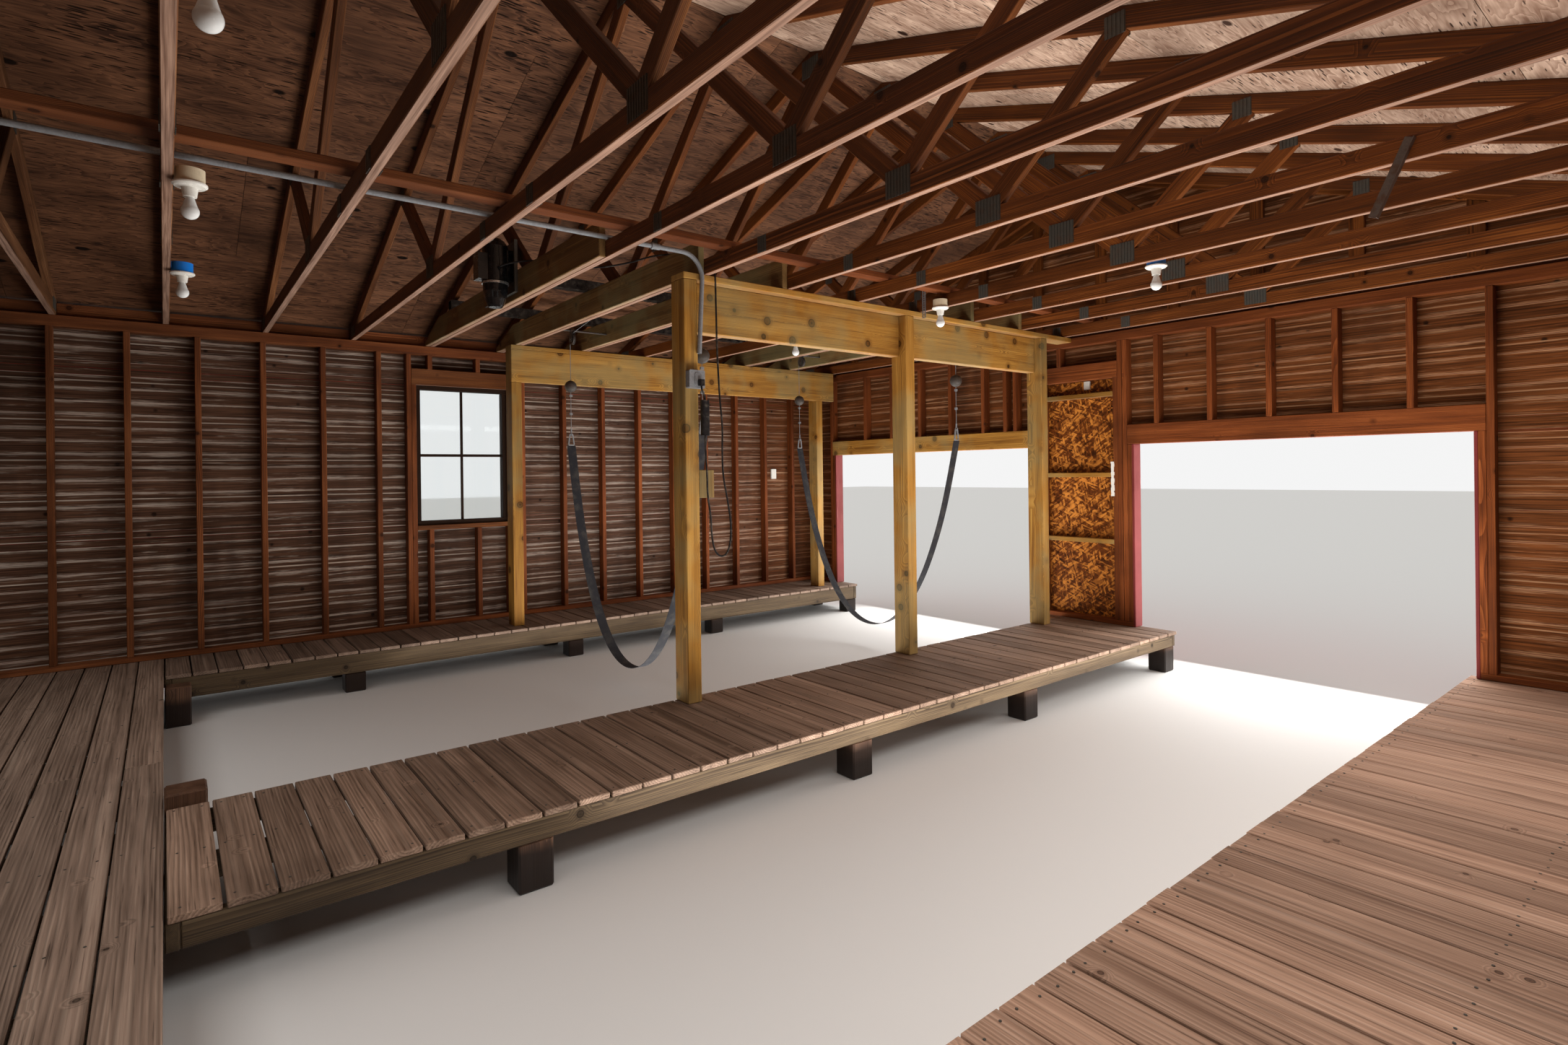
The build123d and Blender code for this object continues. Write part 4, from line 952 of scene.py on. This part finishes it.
def truss_plates():
    """Plates at every joint of every truss but the two in the gables, on both faces."""
    chords = solids("truss_bottom_chords")
    lines = sorted((lo.y, hi.y) for lo, hi in chords)
    chord_top = chords[0][1].z
    span = chords[0][1].x
    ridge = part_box("truss_top_chords")[1].z
    spots = []
    for side in (-1, 1):
        spots.append((side * span / 3, chord_top, WEB_PLATE))
        spots.append((side * span / 2, ridge - span / 2 * SLOPE, CHORD_PLATE))
        spots.append((side * (span - HEEL_INSET), chord_top, HEEL_PLATE))
        spots.append((side * STUD_PLATE_PLACE, chord_top, STUD_PLATE))
    spots.append((0.0, ridge, PEAK_PLATE))
    bm = bmesh.new()
    for near, far in lines[1:-1]:
        for x, line, (wide, tall, drop) in spots:
            ribbed_plate(bm, x, line - drop, near, -1, wide, tall)
            ribbed_plate(bm, x, line - drop, far, 1, wide, tall)
    add_piece("truss_plates", bm, [PLATE_STEEL], "galvanised")


# Windows

BAR_HALF_WIDE = 0.010
BAR_HALF_TALL = 0.012
BAR_PROUD = 0.009


def window_bars():
    """A cross of bars on each pane, the upright one a little prouder than the level one."""
    bm = bmesh.new()
    for low, high in solids("window_panes"):
        middle = (low + high) / 2
        level_proud = BAR_PROUD - 0.001
        board(bm, (low.x - BAR_PROUD, middle.y - BAR_HALF_WIDE, low.z),
              (high.x + BAR_PROUD, middle.y + BAR_HALF_WIDE, high.z))
        board(bm, (low.x - level_proud, low.y, middle.z - BAR_HALF_TALL),
              (high.x + level_proud, high.y, middle.z + BAR_HALF_TALL))
    add_piece("window_bars", bm, [DARK_FRAME], "window_frame", ease=BAR_EASE)


# Small fittings

STRAP_TRUSS = 4
IRON_TRUSS = 5
STRAP_X = 0.206
STRAP_LOW = 2.702
STRAP_HIGH = 3.02
STRAP_HALF = 0.016
STRAP_BAR = 0.006
STRAP_SHEET = 0.002
CONDUIT_X = 0.226
COUPLING_Y = -0.205
COUPLING_NUT_Y = -0.184
CONDUIT_HALF = 0.013
IRON_FOOT = (-2.605, 2.558)
IRON_HEAD = (-2.722, 2.83)
IRON_HALF = 0.018
IRON_LIP = 0.026
IRON_THICK = 0.003
CORD_BLOCK_LEVELS = (1.47, 1.63)
CORD_BLOCK_LONG = 0.1
SWITCH_PLATE = ((-3.778, 1.541), (-3.708, 1.655))
SWITCH_PLATE_DEEP = 0.02
PANEL_PLATE = ((0.112, 2.296), (0.166, 2.366))
PANEL_PLATE_DEPTHS = (0.011, 0.026)
TORN_STRIP_LEVELS = (1.38, 1.66)
TORN_STRIP_EDGES = (-0.14, -0.107)
TORN_STRIP_THICK = 0.002


def tube_along_y(bm, x, y, z, radius, length):
    place = Matrix.Translation((x, y, z)) @ Matrix.Rotation(math.pi / 2, 4, "X")
    bmesh.ops.create_cone(bm, cap_ends=True, segments=20, radius1=radius, radius2=radius, depth=length,
                          matrix=place)


def strap_and_coupling(face):
    """A punched strap on a truss's face, and the coupling at the conduit's bend."""
    bm = bmesh.new()
    for i in range(round((STRAP_HIGH - STRAP_LOW) / STRAP_HALF)):
        z = STRAP_LOW + STRAP_HALF * i
        bar_top = z + STRAP_BAR
        back = face + STRAP_SHEET
        board(bm, (STRAP_X - STRAP_HALF, face, z), (STRAP_X + STRAP_HALF, back, bar_top))
        for side in (-1, 1):
            x0, x1 = sorted((STRAP_X + side * STRAP_BAR, STRAP_X + side * STRAP_HALF))
            board(bm, (x0, face, bar_top), (x1, back, z + STRAP_HALF))
    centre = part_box("conduit")[1].z - CONDUIT_HALF
    tube_along_y(bm, CONDUIT_X, COUPLING_Y, centre, radius=0.0165, length=0.05)
    tube_along_y(bm, CONDUIT_X, COUPLING_NUT_Y, centre, radius=0.0185, length=0.012)
    add_piece("strap_and_coupling", bm, [GALVANISED], "galvanised")


def angle_iron(face):
    """A slanting angle iron on a truss's face."""
    bm = bmesh.new()
    foot = Vector((IRON_FOOT[0], face, IRON_FOOT[1]))
    head = Vector((IRON_HEAD[0], face, IRON_HEAD[1]))
    slant = head - foot
    turn = Matrix.Rotation(math.atan2(slant.x, slant.z), 4, "Y")
    corners = board(bm, (-IRON_HALF, 0, 0), (IRON_HALF, IRON_THICK, slant.length))
    corners += board(bm, (-IRON_HALF, IRON_THICK, 0), (IRON_THICK - IRON_HALF, IRON_LIP, slant.length))
    for corner in corners:
        corner.co = turn @ corner.co + foot
    add_piece("angle_iron", bm, [RUSTY], "galvanised")


def cord_block():
    """The block on the first post that the motor's cord passes."""
    low = max(solids("hoist_posts"), key=lambda pair: pair[1].y - pair[0].x)[0]
    bottom, top = CORD_BLOCK_LEVELS
    bm = bmesh.new()
    board(bm, (low.x, low.y - CORD_BLOCK_LONG, bottom), (low.x + PLANK, low.y, top))
    add_piece("cord_block", bm, [JOIST], "new_pine", ease=EASE)


def wall_plates():
    """White plates on the window wall and the closed doorway, and a torn strip on its trimmer."""
    bm = bmesh.new()
    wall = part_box("side_wall_studs")[1].x
    (y0, z0), (y1, z1) = SWITCH_PLATE
    board(bm, (wall - SWITCH_PLATE_DEEP, y0, z0), (wall, y1, z1))
    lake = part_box("end_wall_studs")[0].y
    (x0, z0), (x1, z1) = PANEL_PLATE
    back, front = PANEL_PLATE_DEPTHS
    board(bm, (x0, lake + back, z0), (x1, lake + front, z1))
    inner = lake + STUD_DEPTH
    z, top = TORN_STRIP_LEVELS
    while z < top:
        rise = RANDOM.uniform(0.012, 0.03)
        left = TORN_STRIP_EDGES[0] + RANDOM.uniform(0.0, 0.007)
        right = TORN_STRIP_EDGES[1] - RANDOM.uniform(0.0, 0.006)
        board(bm, (left, inner, z), (right, inner + TORN_STRIP_THICK, z + rise))
        z += rise
    add_piece("wall_boxes", bm, [WHITE], "porcelain")


def small_fittings():
    faces = sorted(hi.y for lo, hi in solids("truss_bottom_chords"))
    strap_and_coupling(faces[STRAP_TRUSS])
    angle_iron(faces[IRON_TRUSS])
    cord_block()
    wall_plates()


# Slings and cords

SLING_WIDTH = 0.075
SLING_HALF_THICK = 0.0013
# Half of a sling, as (across, height) from its link down to its lowest stretch
SLING_SIDE = (
    (-1.030, 1.8595),
    (-0.940, 1.465),
    (-0.805, 1.040),
    (-0.625, 0.645),
    (-0.405, 0.350),
    (-0.145, 0.186),
)
CORD = 0.011
# Control points of the two power cords, from the outlet and from the breaker
CORD_TO_BREAKER = (
    (0.181, -0.462, 2.102),
    (0.181, -0.462, 2.078),
    (0.200, -0.495, 2.052),
    (0.200, -0.495, 2.024),
)
CORD_TO_MOTOR = (
    (0.200, -0.495, 1.824),
    (0.200, -0.495, 1.745),
    (0.203, -0.506, 1.610),
    (0.212, -0.512, 1.480),
    (0.216, -0.536, 1.370),
    (0.226, -0.546, 1.260),
    (0.228, -0.562, 1.172),
    (0.229, -0.600, 1.128),
    (0.228, -0.645, 1.132),
    (0.228, -0.676, 1.190),
    (0.227, -0.684, 1.310),
    (0.228, -0.661, 1.450),
    (0.226, -0.628, 1.600),
    (0.227, -0.626, 1.745),
    (0.228, -0.632, 1.880),
    (0.226, -0.613, 2.035),
    (0.227, -0.606, 2.185),
    (0.226, -0.597, 2.340),
    (0.224, -0.595, 2.490),
    (0.222, -0.591, 2.630),
    (0.218, -0.588, 2.740),
    (0.234, -0.590, 2.775),
    (0.272, -0.592, 2.778),
    (0.330, -0.597, 2.766),
    (0.420, -0.600, 2.790),
    (0.520, -0.592, 2.880),
    (0.590, -0.565, 2.950),
    (0.650, -0.525, 2.956),
    (0.710, -0.450, 2.948),
    (0.800, -0.360, 2.915),
    (0.900, -0.260, 2.895),
    (1.010, -0.155, 2.892),
    (1.130, -0.060, 2.912),
    (1.228, 0.022, 2.948),
    (1.270, 0.076, 2.961),
    (1.322, 0.132, 2.960),
    (1.385, 0.2235, 2.941),
    (1.455, 0.2235, 2.941),
)


def spline_curve(name, points, radius):
    """A smooth curve that has the points as its control points."""
    data = bpy.data.curves.new(name, "CURVE")
    data.dimensions = "3D"
    data.bevel_depth = radius
    data.bevel_resolution = 4
    data.resolution_u = 8
    data.use_fill_caps = True
    spline = data.splines.new("NURBS")
    spline.points.add(len(points) - 1)
    for target, point in zip(spline.points, points):
        target.co = (*point, 1.0)
    spline.order_u = 3
    spline.use_endpoint_u = True
    return link(bpy.data.objects.new(name, data))


def spline_points(points):
    """Points along the same smooth curve, for a mesh that follows it."""
    curve = spline_curve("route", points, 0.0)
    bpy.context.view_layer.update()
    mesh = bpy.data.meshes.new_from_object(curve)
    found = [v.co.copy() for v in mesh.vertices]
    bpy.data.objects.remove(curve)
    return found


def run_length(points):
    return sum((b - a).length for a, b in zip(points, points[1:]))


def hung_cord(piece, node, slot, start, length, diameter, **more):
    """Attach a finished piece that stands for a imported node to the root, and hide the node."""
    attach(piece, "root")
    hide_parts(node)
    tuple(start)


def power_cord(name, node, points, with_pieces):
    length = run_length(spline_points(points))
    piece = spline_curve(name, points, CORD / 2)
    piece.data.materials.append(RUBBER)
    hung_cord(piece, node, "black_plastic", points[0], length, CORD, with_pieces=with_pieces)


def sling(name, node):
    """A strap between two snap links: a flat ribbon along its hanging line."""
    low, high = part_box(node)
    middle = (low + high) / 2
    route = [(middle.x + x, middle.y, z) for x, z in SLING_SIDE]
    route += [(middle.x - x, middle.y, z) for x, z in reversed(SLING_SIDE)]
    path = spline_points(route)
    bm = bmesh.new()
    grain = bm.verts.layers.float_vector.new("grain")
    rings = []
    gone = 0.0
    for i, point in enumerate(path):
        ahead = path[min(i + 1, len(path) - 1)] - path[max(i - 1, 0)]
        side = Vector((-ahead.z, 0, ahead.x)).normalized() * SLING_HALF_THICK
        if i:
            gone += (point - path[i - 1]).length
        ring = []
        for across, out in ((-1, -1), (1, -1), (1, 1), (-1, 1)):
            offset = Vector((0, across * SLING_WIDTH / 2, 0)) + side * out
            vert = bm.verts.new(point + offset)
            vert[grain] = (gone, across * SLING_WIDTH / 2, out)
            ring.append(vert)
        rings.append(ring)
    sweep(bm, rings)
    bmesh.ops.recalc_face_normals(bm, faces=bm.faces)
    piece = mesh_object(name, bm, [STRAP])
    hung_cord(piece, node, "webbing", path[0], run_length(path), SLING_WIDTH, path=path)


# Stage and light

def make_stage():
    bm = bmesh.new()
    bmesh.ops.create_grid(bm, x_segments=1, y_segments=1, size=60)
    floor = mesh_object("floor", bm, [Shader("floor").finish(srgb(214, 212, 208), 0.9)])
    world = bpy.data.worlds.new("studio")
    SCENE.world = world
    world.use_nodes = True
    background = world.node_tree.nodes["Background"]
    background.inputs["Color"].default_value = (1, 1, 1, 1)
    background.inputs["Strength"].default_value = 0.91


def soft_light(name, place, aim, wide, tall, power):
    data = bpy.data.lights.new(name, "AREA")
    data.shape = "RECTANGLE"
    data.size = wide
    data.size_y = tall
    data.energy = power
    light = link(bpy.data.objects.new(name, data))
    light.location = place
    light.rotation_euler = (Vector(aim) - Vector(place)).to_track_quat("-Z", "Y").to_euler()
    light.visible_camera = False
    light.visible_glossy = False


def make_lights():
    """Daylight through both boat openings, light thrown up by the water, and a fill over two decks."""
    soft_light("lake_left", place=(1.9, -4.9, 1.1), aim=(1.9, 0, 1.8), wide=2.6, tall=2.0, power=95)
    soft_light("lake_right", place=(-1.4, -4.9, 1.1), aim=(-1.4, 0, 1.8), wide=2.1, tall=2.0, power=105)
    soft_light("water_left", place=(1.7, -1.75, 0.08), aim=(1.7, -1.75, 3), wide=2.4, tall=4.6, power=155)
    soft_light("water_right", place=(-1.5, -1.75, 0.08), aim=(-1.5, -1.75, 3), wide=1.6, tall=4.6, power=200)
    soft_light("right_deck_fill", place=(-3.0, -0.8, 2.45), aim=(-3.0, -0.8, 0), wide=1.3, tall=5.6, power=80)
    soft_light("back_deck_fill", place=(-0.4, 3.2, 2.5), aim=(-0.4, 3.85, 0), wide=6.4, tall=1.8, power=75)


# The whole scene

TIGHT_GAP = 0.006
OPEN_GAP = 0.008
PIER_EDGE = 0.3
BLUE_BOX_X = 1.8
RIGHT_SLIP_X = -1.2


def hang_cords():
    power_cord("plug_lead", "plug_cord", CORD_TO_BREAKER, ["plug_and_breaker"])
    power_cord("motor_lead", "motor_cord", CORD_TO_MOTOR, [])
    sling("back_strap", "back_sling")
    sling("lake_strap", "lake_sling")


def over_left_opening(low, high):
    """Whether a header is the newer one over the left boat opening."""
    return low.y < 0 and low.x > PIER_EDGE


def is_blue_box(low, high):
    """Whether a lamp box is one of the two blue ones; the others are tan."""
    return high.x > BLUE_BOX_X or high.x < RIGHT_SLIP_X and high.y < 0


def dress_timber():
    """Every packed timber with its own wood, walls first, then roof, hoist, docks and trim."""
    for node in ("side_wall_studs", "side_wall_plates", "end_wall_studs", "end_wall_plates", "eave_blocks",
                 "truss_runner"):
        dress(node, STUDS, "old_lumber")
    dress_apart("end_wall_headers", over_left_opening,
                ("left_opening_header", PINE, "new_pine", EASE),
                ("other_headers", STUDS, "old_lumber", EASE))
    dress("doorway_shelves", PINE, "new_pine")
    for node in ("truss_bottom_chords", "truss_top_chords", "truss_webs", "gable_studs",
                 "window_headers_and_sills"):
        dress(node, OLD, "old_lumber")
    for node in ("hoist_posts", "hoist_beams", "beam_caps"):
        dress(node, PINE, "new_pine", DEEP_EASE)
    dress("hoist_joists", JOIST, "new_pine", DEEP_EASE)
    dress("piles", WET, "wet_wood", PILE_EASE)
    dress("back_deck_frame", RIM, "deck_wood", DEEP_EASE)
    dress("dock_frames", RIM, "deck_wood", DEEP_EASE)
    dress("window_frames", DARK_FRAME, "window_frame")
    for node in ("opening_jambs", "eave_fascias", "barge_boards", "corner_boards"):
        dress(node, TRIM, "trim_paint")


def lay_decks():
    deck_boards("back_deck_boards", "back_deck", GREY_DECK, TIGHT_GAP)
    deck_boards("walkway_boards", "window_walkway", GREY_DECK, OPEN_GAP)
    deck_boards("pier_boards", "finger_pier", PIER_DECK, OPEN_GAP)
    deck_boards("right_deck_boards", "right_deck", RED_DECK, TIGHT_GAP)
    deck_nails()


def repaint_fittings():
    """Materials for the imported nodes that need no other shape."""
    looks = (
        (PANE, "window_panes"),
        (STRANDS, "doorway_panel"),
        (BLACK, "hoist_tubes"),
        (GLOSS, "hoist_motor"),
        (PLATE_STEEL, "motor_plate"),
        (CHROME, "motor_flange"),
        (DARK_STEEL, "lift_wheels", "lift_wheel_cheeks", "cable_balls"),
        (GALVANISED, "lift_cables", "cable_fittings", "conduit", "outlet_box"),
        (WHITE, "lamp_holders"),
        (FROST, "lamp_bulbs"),
        (RUBBER, "plug_and_breaker"),
    )
    for material, *nodes in looks:
        for node in nodes:
            repaint(node, material)
    dress_apart("lamp_boxes", is_blue_box,
                ("blue_lamp_boxes", BLUE, "blue_plastic", 0.0),
                ("tan_lamp_boxes", TAN, "porcelain", 0.0))


make_camera()
hang_cords()
dress_timber()
lay_decks()
side_siding()
end_siding()
roof_tabs(roof_panels())
ridge_tabs()
truss_plates()
window_bars()
small_fittings()
repaint_fittings()
make_stage()
make_lights()
SCENE.view_settings.view_transform = "Standard"
